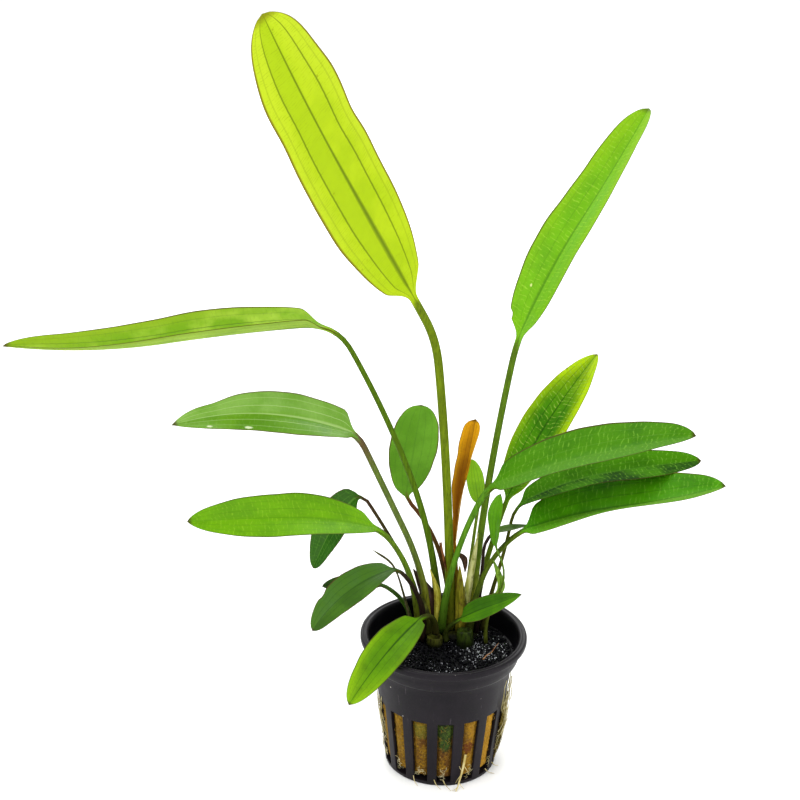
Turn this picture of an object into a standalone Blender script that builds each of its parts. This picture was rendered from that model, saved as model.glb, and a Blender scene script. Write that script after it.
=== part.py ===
"""Potted echinodorus: a sword plant with nineteen leaves on a short crown, growing in black grit over a
mineral wool plug in a small black net pot.

Frame: metres, +Z up. The origin is the centre of the pot's underside. +Y points to the back of the plant,
-Y to the side that is seen first, +X to its right.
"""

import math

import bmesh
import bpy
import numpy as np

MM = 0.001

# ---------------------------------------------------------------- driving dimensions, in millimetres
POT_HEIGHT = 48.5
RIM_RADIUS = 28.0
RIM_INNER_RADIUS = 25.7
RIM_DEPTH = 2.4
BASE_RADIUS = 18.8
WALL = 1.15
FLOOR = 1.4
COLLAR_FOOT = 39.8
SLOTS = 15
SLOT_FIRST_DEG = -87.3
SLOT_HALF_DEG = 7.25
SLOT_TOP = 25.8
GAP = 0.35

WOOL_TOP = 35.7
GRIT_TOP = 41.2
CROWN_CENTRE = (2.5, 12.6)
CROWN_HALF = (13.0, 5.2)
CROWN_FOOT = 37.6
CROWN_TOP = 42.5

BLADE_HALF_THICKNESS = 0.32
STALK_FLATNESS = 0.78
NECK_SHARE = 0.08
FOLD = 15

# How quickly a blade's outline fills out at its base and at its tip.
SWORD = (0.55, 0.65)
OVAL = (0.60, 0.52)
LANCE = (0.42, 0.80)

# Each leaf stands on the crown at root and grows in the vertical plane of its heading, in degrees from +X
# towards +Y; a second heading is the blade's, where it turns aside at the neck. stalk and blade each give a
# length and the lean from the vertical at the start, the middle and the end: 0 is upright, 90 level, over 90
# drooping. bend moves the stalk's middle station up, where its bend comes late. width is the blade's full width and roll its twist about the midrib at base, middle and tip.
# stalk_width is the stalk's width at foot and top. fold is the angle that each half rises from flat.
LEAVES = {
    "leaf_tall": dict(root=(2.4, 13.4, 43), heading=228, stalk_width=(3.6, 2.7),
                      stalk=(128, 2, 9, 34), blade=(118, 35, 34, 30), width=30.5, roll=(-70, -95, -75), shape=OVAL, bend=0.78, fold=6),
    "leaf_upright": dict(root=(9.5, 13.6, 43), heading=38, stalk_width=(3.2, 2.2),
                         stalk=(105, 3, 10, 13), blade=(87, 32, 42, 36), width=23, roll=(-25, 5, 10), shape=OVAL, fold=18),
    "leaf_long_left": dict(root=(-1.4, 15.8, 43), heading=187, stalk_width=(3.2, 2.2),
                           stalk=(117, 2, 20, 28), blade=(106, 94, 98, 81), width=29, roll=(-10, -5, -5), shape=LANCE, fold=22),
    "leaf_mid_left": dict(root=(-4.8, 12.4, 43), heading=192, stalk_width=(3.4, 2.6),
                          stalk=(79, 3, 24, 24), blade=(62, 66, 82, 105), width=17, roll=(20, 40, 60), shape=LANCE, fold=20),
    "leaf_low_left": dict(root=(-7.8, 9.2, 43), heading=203, stalk_width=(3.1, 2.4),
                          stalk=(45, 4, 17, 35), blade=(69, 67, 81, 84), width=17, roll=(10, 35, 55), shape=SWORD),
    "leaf_behind_left": dict(root=(-7.5, 15.2, 43), heading=168, stalk_width=(1.6, 1.2),
                             stalk=(52, 2, 30, 34), blade=(35, 140, 156, 160), width=14, roll=(55, 55, 55), shape=SWORD),
    "leaf_droop_left": dict(root=(-7.6, 5.9, 42), heading=212, stalk_width=(2.3, 1.8),
                            stalk=(33, -15, 22, 40), blade=(37, 92, 114, 144), width=12, roll=(-5, 28, 20), shape=OVAL),
    "leaf_hidden_left": dict(root=(-11.2, 12.2, 43), heading=190, stalk_width=(1.9, 1.5),
                             stalk=(21, -5, 32, 55), blade=(21, 80, 88, 95), width=6.5, roll=(20, 45, 30), shape=SWORD),
    "leaf_front_droop": dict(root=(-2.7, 4.8, 45.2), heading=236, stalk_width=(2.0, 1.8),
                             stalk=(15, 0, 36, 74), blade=(44, 97, 108, 120), width=13.5, roll=(5, 20, 25), shape=SWORD),
    "leaf_front_right": dict(root=(1.4, 5.6, 41.9), heading=330, stalk_width=(1.8, 1.4),
                             stalk=(12, -30, 40, 46), blade=(28, 50, 57, 55), width=8, roll=(-25, -60, -40), shape=LANCE),
    "leaf_back_oval": dict(root=(3.6, 16.8, 43), heading=(150, 80), stalk_width=(1.9, 1.4),
                           stalk=(48, 8, 18, 52), blade=(37, 50, 52, 50), width=17.5, roll=(10, 0, 0), shape=OVAL),
    "leaf_withered": dict(root=(6.3, 13.2, 43.2), heading=(150, 60), stalk_width=(3.6, 2.5),
                          stalk=(28, 12, 8, 4), blade=(47, 12, 18, 19), width=8.4, roll=(20, 15, -15), shape=(0.6, 0.3), fold=38),
    "leaf_back_small": dict(root=(7.4, 17, 43), heading=(75, 97), stalk_width=(1.5, 1.1),
                            stalk=(41, 14, 24, 34), blade=(20, 62, 64, 57), width=6.5, roll=(20, 5, -10), shape=SWORD),
    "leaf_big_right": dict(root=(-0.7, 9.9, 43.1), heading=346, stalk_width=(2.9, 2.6),
                           stalk=(59, 3, 14, 24), blade=(72, 62, 69, 74), width=27, roll=(-20, -8, -12), shape=SWORD, fold=18),
    "leaf_mid_right": dict(root=(13.2, 12.4, 43), heading=8, stalk_width=(1.9, 1.4),
                           stalk=(47, 12, 14, 8), blade=(66, 63, 82, 87), width=18, roll=(0, -5, -20), shape=SWORD),
    "leaf_low_right": dict(root=(8.8, 8.3, 42.9), heading=355, stalk_width=(2.6, 2.0),
                           stalk=(45, 2, 18, 41), blade=(70, 67, 78, 70), width=23, roll=(-18, 2, -10), shape=(0.42, 0.55), fold=18),
    "leaf_back_right": dict(root=(11, 16.8, 43), heading=50, stalk_width=(2.2, 1.8),
                            stalk=(44, 4, 24, 29), blade=(66, 38, 54, 64), width=16.5, roll=(0, -20, 5), shape=SWORD),
    "leaf_young_right": dict(root=(14.6, 5.6, 41.7), heading=352, stalk_width=(1.4, 0.9),
                             stalk=(37, -8, 28, -29), blade=(21, -6, 2, 11), width=6.5, roll=(-15, -50, -60), shape=SWORD),
    "leaf_dark_stalk": dict(root=(11.2, 10.2, 43.1), heading=1, stalk_width=(1.8, 1.4),
                            stalk=(39, 4, 2, 42), bend=0.8, blade=(12, 74, 78, 80), width=4.6, roll=(-10, 0, 8), shape=SWORD),
}

# Stalks and leaf bases that carry no blade, each through (x, y, z) points, with its widths along them.
BARE_STALKS = {
    "leaf_base_left": dict(points=[(-2.8, 4.5, 41.8), (-2.8, 4.6, 43.0), (-2.9, 4.7, 44.2)], widths=(5.4, 5.2), flat=0.92),
    "leaf_base_right": dict(points=[(7.6, 4.5, 41.9), (7.4, 4.5, 44.0), (7.1, 4.6, 47.0)], widths=(5.8, 5.0), flat=0.85),
    "dry_shoot": dict(points=[(-10.0, 7.4, 43), (-13.6, 8.0, 58), (-17.5, 8.4, 69), (-24.4, 9.0, 74.5)], widths=(1.2, 0.5), flat=0.8),
    "brown_strand": dict(points=[(-8.6, 18.0, 43), (-12.0, 20.0, 60), (-17.6, 22.0, 71), (-24, 23.5, 76), (-31.5, 25.0, 76.5)],
                         widths=(1.1, 0.6), flat=0.9),
}


# ---------------------------------------------------------------- shape rules
def spline(points):
    """Natural cubic spline through points, by the square root of the distance between them. Returns the
    knots and a function of the parameter in 0..1."""
    p = np.array(points, float)
    t = np.concatenate([[0.0], np.cumsum(np.linalg.norm(np.diff(p, axis=0), axis=1) ** 0.5)])
    t /= t[-1]
    n = len(t)
    h = np.diff(t)
    a = np.eye(n)
    b = np.zeros((n, 3))
    for i in range(1, n - 1):
        a[i, i - 1 : i + 2] = h[i - 1], 2 * (h[i - 1] + h[i]), h[i]
        b[i] = 6 * ((p[i + 1] - p[i]) / h[i] - (p[i] - p[i - 1]) / h[i - 1])
    m = np.linalg.solve(a, b)

    def at(s):
        s = np.clip(np.atleast_1d(s), 0, 1)
        k = np.clip(np.searchsorted(t, s, side="right") - 1, 0, n - 2)
        d, u, v = h[k][:, None], (t[k + 1] - s)[:, None], (s - t[k])[:, None]
        return (m[k] * u**3 + m[k + 1] * v**3) / (6 * d) + (p[k] / d - m[k] * d / 6) * u + (p[k + 1] / d - m[k + 1] * d / 6) * v

    return t, at


def by_length(at, start, end, shares):
    """Points of the spline between two parameters, at the given shares of the length between them."""
    fine = at(np.linspace(start, end, 300))
    run = np.concatenate([[0.0], np.cumsum(np.linalg.norm(np.diff(fine, axis=0), axis=1))])
    return np.stack([np.interp(np.asarray(shares) * run[-1], run, fine[:, i]) for i in range(3)], 1)


def midrib(spec):
    """The line of a leaf, found by walking along it. The lean changes evenly from one station to the next and
    passes from the stalk's to the blade's over a short neck. Returns distances, points and directions."""
    stalk, blade = spec["stalk"], spec["blade"]
    join, neck = stalk[0], NECK_SHARE * blade[0]
    stations = (0, spec.get("bend", 0.5) * join, join - neck, join + neck, join + 0.5 * blade[0], join + blade[0])
    s = np.linspace(0, join + blade[0], 601)
    lean = np.radians(np.interp(s, stations, stalk[1:] + blade[1:]))
    headings = np.atleast_1d(spec["heading"])
    turn = np.radians(np.interp(s, (join - neck, join + neck), (headings[0], headings[-1])))
    way = np.stack([np.sin(lean) * np.cos(turn), np.sin(lean) * np.sin(turn), np.cos(lean)], 1)
    steps = 0.5 * (way[1:] + way[:-1]) * (s[1] - s[0])
    points = np.array(spec["root"], float) + np.concatenate([np.zeros((1, 3)), np.cumsum(steps, 0)])
    return s, points, way


def along(table, s, at):
    """Rows of a table that is listed by distance s, read at other distances."""
    return np.stack([np.interp(at, s, table[:, i]) for i in range(3)], 1)


def through(three, u):
    """Smooth value at u in 0..1 that passes through three given ones at the start, middle and end."""
    start, middle, end = three
    return start + (end - start) * u + (4 * middle - 2 * start - 2 * end) * u * (1 - u)


def outline(u, base, tip):
    """Half width of a blade as a share of its largest, from the base at 0 to the tip at 1."""
    peak = base / (base + tip)
    return np.clip(u, 0, 1) ** base * np.clip(1 - u, 0, 1) ** tip / (peak**base * (1 - peak) ** tip)


def frames(t, heading):
    """Sideways and upper-face directions for the directions t along a line."""
    t = t / np.linalg.norm(t, axis=1)[:, None]
    a = math.radians(heading)
    side = np.array([math.sin(a), -math.cos(a), 0.0])
    across = side - (t @ side)[:, None] * t
    across /= np.linalg.norm(across, axis=1)[:, None]
    return t, across, np.cross(across, t)


def loft(name, rings, material):
    """A closed body through rings of points, each ring listed the same way round."""
    bm = bmesh.new()
    loops = [[bm.verts.new([c * MM for c in p]) for p in ring] for ring in rings]
    n = len(loops[0])
    for low, high in zip(loops, loops[1:]):
        for i in range(n):
            j = (i + 1) % n
            bm.faces.new((low[i], low[j], high[j], high[i]))
    bm.faces.new(loops[0][::-1])
    bm.faces.new(loops[-1])
    return finish(name, bm, material)


def finish(name, bm, material, sharp_deg=40):
    bmesh.ops.recalc_face_normals(bm, faces=bm.faces)
    bmesh.ops.triangulate(bm, faces=[f for f in bm.faces if len(f.verts) > 4])
    mesh = bpy.data.meshes.new(name)
    bm.to_mesh(mesh)
    bm.free()
    mesh.materials.append(material)
    mesh.shade_smooth()
    mesh.set_sharp_from_angle(angle=math.radians(sharp_deg))
    obj = bpy.data.objects.new(name, mesh)
    bpy.context.collection.objects.link(obj)
    obj.parent = plant_root
    return obj


def material(name, colour, roughness, metallic=0.0):
    mat = bpy.data.materials.new(name)
    mat.use_nodes = True
    shader = mat.node_tree.nodes["Principled BSDF"]
    shader.inputs["Base Color"].default_value = (*colour, 1.0)
    shader.inputs["Roughness"].default_value = roughness
    shader.inputs["Metallic"].default_value = metallic
    return mat


# ---------------------------------------------------------------- leaves
def leaf(name, spec, mat):
    """Stalk and blade grown as one piece: eight points round, a rounded stalk that flattens into a blade
    with a raised midrib and edges that come to a point."""
    dist, line, way = midrib(spec)
    join, length = spec["stalk"][0], spec["stalk"][0] + spec["blade"][0]
    stalk_steps = 8 if length > 90 else 6
    blade_steps = 11 if length > 90 else 9
    stalk_share = np.linspace(0, 1, stalk_steps, endpoint=False)
    blade_share = 0.5 * (1 - np.cos(np.pi * np.linspace(0, 1, blade_steps))) * 0.985
    at = np.concatenate([stalk_share * join, join + blade_share * spec["blade"][0]])
    points = along(line, dist, at)
    t, across, up = frames(along(way, dist, at), float(np.atleast_1d(spec["heading"])[-1]))
    n_stalk = len(stalk_share)
    rings = []
    for i, p in enumerate(points):
        if i < n_stalk:
            s, u = stalk_share[i], 0.0
            roll = spec["roll"][0] * s * s
        else:
            s, u = 1.0, blade_share[i - n_stalk]
            roll = through(spec["roll"], u)
        stalk_half = 0.5 * (spec["stalk_width"][0] + (spec["stalk_width"][1] - spec["stalk_width"][0]) * s**0.6)
        flat = min(1.0, u / 0.10)
        flat = flat * flat * (3 - 2 * flat)
        blade_half = 0.5 * spec["width"] * float(outline(u, *spec["shape"]))
        rib = stalk_half * STALK_FLATNESS * (1 - u) ** 2.5 * (1 - 0.45 * flat) + 0.28
        r = math.radians(roll)
        lat = across[i] * math.cos(r) + up[i] * math.sin(r)
        nor = np.cross(lat, t[i])
        f = math.radians(spec.get("fold", FOLD)) * flat
        ring = []
        for k in range(8):
            c, s8 = math.cos(k * math.pi / 4), math.sin(k * math.pi / 4)
            round_lat, round_up = c * stalk_half, s8 * stalk_half * STALK_FLATNESS
            share = (1, 0.5, 0, -0.5, -1, -0.5, 0, 0.5)[k]
            lift = (0, BLADE_HALF_THICKNESS, rib, BLADE_HALF_THICKNESS)[k % 4] * (1 if k < 4 else -1)
            wide = max(blade_half, stalk_half * (1 - u) ** 4, 0.35)
            flat_lat = share * wide * math.cos(f)
            flat_up = abs(share) * wide * math.sin(f) + lift
            ring.append(p + lat * (round_lat * (1 - flat) + flat_lat * flat) + nor * (round_up * (1 - flat) + flat_up * flat))
        rings.append(ring)
    return loft(name, rings, mat)


def bare_stalk(name, spec, mat):
    knots, at = spline(spec["points"])
    steps = 5 + 2 * (len(spec["points"]) > 3)
    share = np.linspace(0, 1, steps)
    points = by_length(at, 0, 1, share)
    t, across, up = frames(np.gradient(points, axis=0), 90)
    rings = []
    for i, p in enumerate(points):
        half = 0.5 * (spec["widths"][0] + (spec["widths"][1] - spec["widths"][0]) * share[i])
        rings.append([p + across[i] * half * math.cos(k * math.pi / 4) + up[i] * half * spec["flat"] * math.sin(k * math.pi / 4) for k in range(8)])
    return loft(name, rings, mat)


# ---------------------------------------------------------------- pot and what fills it
# Outer and inner profiles of the pot, (radius, height) from the floor up.
BODY_SLOPE = (23.35 - BASE_RADIUS) / COLLAR_FOOT


def wall_radius(z):
    """Outer radius of the tapered body below the collar."""
    return BASE_RADIUS + BODY_SLOPE * z


def pot():
    step = 360.0 / SLOTS
    angles, in_slot = [], []
    for k in range(SLOTS):
        centre = SLOT_FIRST_DEG + k * step
        angles += [centre - SLOT_HALF_DEG, centre, centre + SLOT_HALF_DEG]
        in_slot += [True, True, False]
    angles = np.radians(angles)
    outer = [(BASE_RADIUS, 0.0), (wall_radius(FLOOR), FLOOR), (wall_radius(SLOT_TOP), SLOT_TOP), (wall_radius(COLLAR_FOOT), COLLAR_FOOT),
             (25.3, COLLAR_FOOT + 0.7), (26.1, POT_HEIGHT - RIM_DEPTH - 0.5), (RIM_RADIUS, POT_HEIGHT - RIM_DEPTH),
             (RIM_RADIUS, POT_HEIGHT - 0.5), (RIM_RADIUS - 0.5, POT_HEIGHT)]
    inner = [(wall_radius(FLOOR) - WALL, FLOOR), (wall_radius(SLOT_TOP) - WALL, SLOT_TOP), (wall_radius(COLLAR_FOOT + 1.0) - WALL, COLLAR_FOOT + 1.0),
             (24.1, COLLAR_FOOT + 1.8), (24.9, 45.2), (25.1, 47.4), (RIM_INNER_RADIUS, POT_HEIGHT)]
    bm = bmesh.new()

    def ring(r, z):
        return [bm.verts.new((r * math.cos(t) * MM, r * math.sin(t) * MM, z * MM)) for t in angles]

    out = [ring(*p) for p in outer]
    ins = [ring(*p) for p in inner]
    n = len(angles)
    for i in range(n):
        j = (i + 1) % n
        for k in range(len(out) - 1):
            if not (k == 1 and in_slot[i]):
                bm.faces.new((out[k][i], out[k][j], out[k + 1][j], out[k + 1][i]))
        for k in range(len(ins) - 1):
            if not (k == 0 and in_slot[i]):
                bm.faces.new((ins[k][j], ins[k][i], ins[k + 1][i], ins[k + 1][j]))
        bm.faces.new((out[-1][i], out[-1][j], ins[-1][j], ins[-1][i]))
        if in_slot[i]:
            # sill and head of the slot
            bm.faces.new((out[1][i], out[1][j], ins[0][j], ins[0][i]))
            bm.faces.new((out[2][j], out[2][i], ins[1][i], ins[1][j]))
            if not in_slot[i - 1]:
                bm.faces.new((out[1][i], ins[0][i], ins[1][i], out[2][i]))
            if not in_slot[j]:
                bm.faces.new((ins[0][j], out[1][j], out[2][j], ins[1][j]))
    for loop, z in ((out[0], 0.0), (ins[0], FLOOR)):
        middle = bm.verts.new((0, 0, z * MM))
        for i in range(n):
            bm.faces.new((loop[i], loop[(i + 1) % n], middle))
    return finish("net_pot", bm, black_plastic)


def turned(name, profile, mat, sides=36, centre=(0, 0), half=(1, 1)):
    """A closed turned body, from a profile of (radius, height) that starts and ends away from the axis."""
    rings = []
    for r, z in profile:
        rings.append([(centre[0] + r * half[0] * math.cos(2 * math.pi * k / sides), centre[1] + r * half[1] * math.sin(2 * math.pi * k / sides), z)
                      for k in range(sides)])
    return loft(name, rings, mat)


def grit():
    body = turned("grit", [(21.35, WOOL_TOP + GAP), (21.85, GRIT_TOP - 0.7), (21.6, GRIT_TOP)], black_grit)
    cutter = turned("grit_cutter", [(1, CROWN_FOOT - GAP), (1, GRIT_TOP + 4)], black_grit, sides=24, centre=CROWN_CENTRE,
                    half=(CROWN_HALF[0] + GAP, CROWN_HALF[1] + GAP))
    cutter.hide_render = True
    cutter.display_type = "WIRE"
    cut = body.modifiers.new("crown_recess", "BOOLEAN")
    cut.operation = "DIFFERENCE"
    cut.object = cutter
    return body


def root_mat(name, first_deg, last_deg, low, high, thick, mat):
    """A thin mat of roots that hugs the outside of the pot, a gap away from its wall."""
    columns, rows = 6, 7
    bm = bmesh.new()
    grid = {}
    for i in range(columns):
        u = i / (columns - 1)
        a = math.radians(first_deg + (last_deg - first_deg) * u)
        for j in range(rows):
            v = j / (rows - 1)
            z = low + (high - low) * v
            swell = thick * (0.25 + 0.75 * math.sin(math.pi * u) ** 0.7 * math.sin(math.pi * min(1.0, 0.12 + 0.80 * v)) ** 0.6)
            for side, r in enumerate((wall_radius(z) + GAP, wall_radius(z) + GAP + swell)):
                grid[i, j, side] = bm.verts.new((r * math.cos(a) * MM, r * math.sin(a) * MM, z * MM))
    for i in range(columns - 1):
        for j in range(rows - 1):
            for side in (0, 1):
                bm.faces.new((grid[i, j, side], grid[i + 1, j, side], grid[i + 1, j + 1, side], grid[i, j + 1, side]))
    for i in range(columns - 1):
        for j in (0, rows - 1):
            bm.faces.new((grid[i, j, 0], grid[i + 1, j, 0], grid[i + 1, j, 1], grid[i, j, 1]))
    for j in range(rows - 1):
        for i in (0, columns - 1):
            bm.faces.new((grid[i, j, 0], grid[i, j + 1, 0], grid[i, j + 1, 1], grid[i, j, 1]))
    return finish(name, bm, mat)


def main():
    pot()
    turned("wool_plug", [(13.0, FLOOR + 0.3), (17.0, 3.6), (wall_radius(SLOT_TOP) - WALL - GAP, SLOT_TOP), (21.3, WOOL_TOP)], mineral_wool)
    grit()
    turned("crown", [(0.7, CROWN_FOOT), (1.0, CROWN_FOOT + 1.6), (0.97, CROWN_TOP - 1.3), (0.80, CROWN_TOP)], crown_green,
           sides=24, centre=CROWN_CENTRE, half=CROWN_HALF)
    for name, spec in LEAVES.items():
        leaf(name, spec, LEAF_MATERIALS.get(name, green_leaf))
    for name, spec in BARE_STALKS.items():
        bare_stalk(name, spec, dry_brown if name in ("dry_shoot", "brown_strand") else crown_green)
    root_mat("root_mat_right", -31, 9, 3.0, 38.6, 2.1, pale_root)
    root_mat("root_mat_left", 176, 206, 6.0, 31.0, 0.9, pale_root)
    front_root = [(8.0, -18.6, 12.5), (7.2, -19.0, 7.0), (6.2, -19.6, 2.6), (5.6, -20.6, 0.75), (5.0, -22.4, 0.5)]
    points = by_length(spline(front_root)[1], 0, 1, np.linspace(0, 1, 9))
    t, across, up = frames(np.gradient(points, axis=0), 200)
    loft("front_root", [[p + (across[i] * math.cos(k * math.pi / 3) + up[i] * math.sin(k * math.pi / 3)) * 0.4 for k in range(6)]
                        for i, p in enumerate(points)], pale_root)


for old in list(bpy.data.objects):
    bpy.data.objects.remove(old, do_unlink=True)

black_plastic = material("black_plastic", (0.022, 0.020, 0.024), 0.5)
mineral_wool = material("mineral_wool", (0.36, 0.20, 0.03), 0.95)
black_grit = material("black_grit", (0.008, 0.008, 0.011), 0.3)
crown_green = material("crown_green", (0.13, 0.15, 0.02), 0.5)
green_leaf = material("green_leaf", (0.12, 0.32, 0.01), 0.42)
bright_leaf = material("bright_leaf", (0.30, 0.46, 0.01), 0.42)
dark_leaf = material("dark_leaf", (0.05, 0.17, 0.015), 0.45)
withered_leaf = material("withered_leaf", (0.42, 0.15, 0.01), 0.55)
dry_brown = material("dry_brown", (0.10, 0.05, 0.02), 0.7)
pale_root = material("pale_root", (0.55, 0.47, 0.24), 0.8)
LEAF_MATERIALS = {"leaf_withered": withered_leaf}
for leaf_name in ("leaf_tall", "leaf_front_droop", "leaf_back_small", "leaf_back_right", "leaf_young_right"):
    LEAF_MATERIALS[leaf_name] = bright_leaf
for leaf_name in ("leaf_behind_left", "leaf_hidden_left", "leaf_mid_right", "leaf_dark_stalk"):
    LEAF_MATERIALS[leaf_name] = dark_leaf

plant_root = bpy.data.objects.new("potted_echinodorus", None)
bpy.context.collection.objects.link(plant_root)
main()
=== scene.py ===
"""Potted echinodorus, as seen: nineteen thin veined leaves on a short crown in wet black grit, over ochre
mineral wool in a small slotted net pot, with fine roots grown out of its slots.

Metres, +Z up, the origin at the centre of the pot's underside. Lengths in the tables are millimetres.
"""

import math

import bmesh
import bpy
import numpy as np
from mathutils import Matrix, Vector, noise


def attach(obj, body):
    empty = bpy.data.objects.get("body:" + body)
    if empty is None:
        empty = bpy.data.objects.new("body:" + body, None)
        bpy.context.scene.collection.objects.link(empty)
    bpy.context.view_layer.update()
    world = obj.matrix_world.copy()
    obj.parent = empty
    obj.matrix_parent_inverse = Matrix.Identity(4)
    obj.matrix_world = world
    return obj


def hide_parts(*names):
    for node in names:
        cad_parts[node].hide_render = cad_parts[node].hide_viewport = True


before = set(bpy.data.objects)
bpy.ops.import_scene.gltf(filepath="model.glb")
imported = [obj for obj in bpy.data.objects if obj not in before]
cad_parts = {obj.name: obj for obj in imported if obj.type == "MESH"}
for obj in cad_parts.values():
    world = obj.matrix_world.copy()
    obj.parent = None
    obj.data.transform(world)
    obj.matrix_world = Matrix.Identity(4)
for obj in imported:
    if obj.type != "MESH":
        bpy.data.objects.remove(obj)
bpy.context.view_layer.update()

MM = 0.001
rng = np.random.default_rng(11)

# ---------------------------------------------------------------- driving dimensions, in millimetres
POT_HEIGHT = 48.5
RIM_RADIUS = 28.0
RIM_INNER_RADIUS = 25.7
RIM_DEPTH = 2.4
BASE_RADIUS = 18.8
WALL = 1.15
FLOOR = 1.4
COLLAR_FOOT = 39.8
SLOTS = 15
SLOT_FIRST_DEG = -87.3
SLOT_HALF_DEG = 7.25
SLOT_TOP = 25.8
WOOL_TOP = 35.7
GRIT_TOP = 41.2
CROWN_CENTRE = (2.5, 12.6)
STALK_FLATNESS = 0.78
NECK_SHARE = 0.08
FOLD = 15

SWORD = (0.55, 0.65)
OVAL = (0.60, 0.52)
LANCE = (0.42, 0.80)

# Lengths and leans of stalk and blade, as in the solid model.
LEAVES = {
    "leaf_tall": dict(root=(2.4, 13.4, 43), heading=228, stalk_width=(3.6, 2.7),
                      stalk=(128, 2, 9, 34), blade=(118, 35, 34, 30), width=30.5, roll=(-70, -95, -75), shape=OVAL, bend=0.78, fold=6),
    "leaf_upright": dict(root=(9.5, 13.6, 43), heading=38, stalk_width=(3.2, 2.2),
                         stalk=(103, 3, 9, 13), blade=(90, 30, 42, 37), width=23, roll=(-25, 5, 10), shape=OVAL, fold=18),
    "leaf_long_left": dict(root=(-1.4, 15.8, 43), heading=187, stalk_width=(3.7, 2.3),
                           stalk=(117, 2, 20, 28), blade=(106, 94, 98, 81), width=29, roll=(-10, -5, -5), shape=LANCE, fold=22),
    "leaf_mid_left": dict(root=(-4.8, 12.4, 43), heading=192, stalk_width=(3.4, 2.6),
                          stalk=(79, 3, 24, 24), blade=(62, 66, 82, 105), width=17, roll=(20, 40, 60), shape=LANCE, fold=20),
    "leaf_low_left": dict(root=(-7.8, 9.2, 43), heading=203, stalk_width=(3.1, 2.4),
                          stalk=(45, 4, 17, 35), blade=(69, 67, 81, 84), width=17, roll=(10, 35, 55), shape=SWORD),
    "leaf_behind_left": dict(root=(-7.5, 15.2, 43), heading=168, stalk_width=(1.6, 1.2),
                             stalk=(52, 2, 30, 34), blade=(35, 140, 156, 160), width=14, roll=(55, 55, 55), shape=SWORD),
    "leaf_droop_left": dict(root=(-7.6, 5.9, 42), heading=212, stalk_width=(2.3, 1.8),
                            stalk=(33, -15, 22, 40), blade=(37, 92, 114, 144), width=12, roll=(-5, 28, 20), shape=OVAL),
    "leaf_hidden_left": dict(root=(-11.2, 12.2, 43), heading=190, stalk_width=(1.9, 1.5),
                             stalk=(21, -5, 32, 55), blade=(21, 80, 88, 95), width=6.5, roll=(20, 45, 30), shape=SWORD),
    "leaf_front_droop": dict(root=(-2.7, 4.8, 45.2), heading=236, stalk_width=(2.0, 1.8),
                             stalk=(15, 0, 36, 74), blade=(44, 97, 108, 120), width=13.5, roll=(5, 20, 25), shape=SWORD),
    "leaf_front_right": dict(root=(1.4, 5.6, 41.9), heading=330, stalk_width=(1.8, 1.4),
                             stalk=(12, -30, 40, 46), blade=(28, 50, 57, 55), width=8, roll=(-25, -60, -40), shape=LANCE),
    "leaf_back_oval": dict(root=(3.6, 16.8, 43), heading=(150, 80), stalk_width=(1.9, 1.4),
                           stalk=(48, 8, 18, 52), blade=(37, 50, 52, 50), width=17.5, roll=(10, 0, 0), shape=OVAL),
    "leaf_withered": dict(root=(6.3, 13.2, 43.2), heading=(150, 60), stalk_width=(3.6, 2.5),
                          stalk=(28, 12, 8, 4), blade=(47, 12, 18, 19), width=8.4, roll=(20, 15, -15), shape=(0.6, 0.3), fold=38),
    "leaf_back_small": dict(root=(7.4, 17, 43), heading=(75, 97), stalk_width=(1.5, 1.1),
                            stalk=(41, 14, 24, 34), blade=(20, 62, 64, 57), width=6.5, roll=(20, 5, -10), shape=SWORD),
    "leaf_big_right": dict(root=(-0.7, 9.9, 43.1), heading=346, stalk_width=(2.9, 2.6),
                           stalk=(59, 3, 14, 24), blade=(72, 62, 69, 74), width=27, roll=(-20, -8, -12), shape=SWORD, fold=18),
    "leaf_mid_right": dict(root=(13.2, 12.4, 43), heading=8, stalk_width=(1.9, 1.4),
                           stalk=(47, 12, 14, 8), blade=(66, 63, 82, 87), width=18, roll=(0, -5, -20), shape=SWORD),
    "leaf_low_right": dict(root=(8.8, 8.3, 42.9), heading=355, stalk_width=(2.6, 2.0),
                           stalk=(45, 2, 18, 41), blade=(70, 67, 78, 70), width=23, roll=(-18, 2, -10), shape=(0.42, 0.55), fold=18),
    "leaf_back_right": dict(root=(11, 16.8, 43), heading=50, stalk_width=(2.2, 1.8),
                            stalk=(44, 4, 24, 29), blade=(66, 38, 54, 64), width=16.5, roll=(0, -20, 5), shape=SWORD),
    "leaf_young_right": dict(root=(14.6, 5.6, 41.7), heading=352, stalk_width=(1.4, 0.9),
                             stalk=(37, -8, 28, -29), blade=(21, -6, 2, 11), width=6.5, roll=(-15, -50, -60), shape=SWORD),
    "leaf_dark_stalk": dict(root=(11.2, 10.2, 43.1), heading=1, stalk_width=(1.8, 1.4),
                            stalk=(39, 4, 2, 42), bend=0.8, blade=(12, 74, 78, 80), width=4.6, roll=(-10, 0, 8), shape=SWORD),
}


# ---------------------------------------------------------------- node helpers
def lin(r, g, b):
    """A display colour in 0..255 as the linear colour that a shader takes."""
    out = []
    for c in (r, g, b):
        c /= 255.0
        out.append(c / 12.92 if c <= 0.04045 else ((c + 0.055) / 1.055) ** 2.4)
    return (*out, 1.0)


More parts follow.
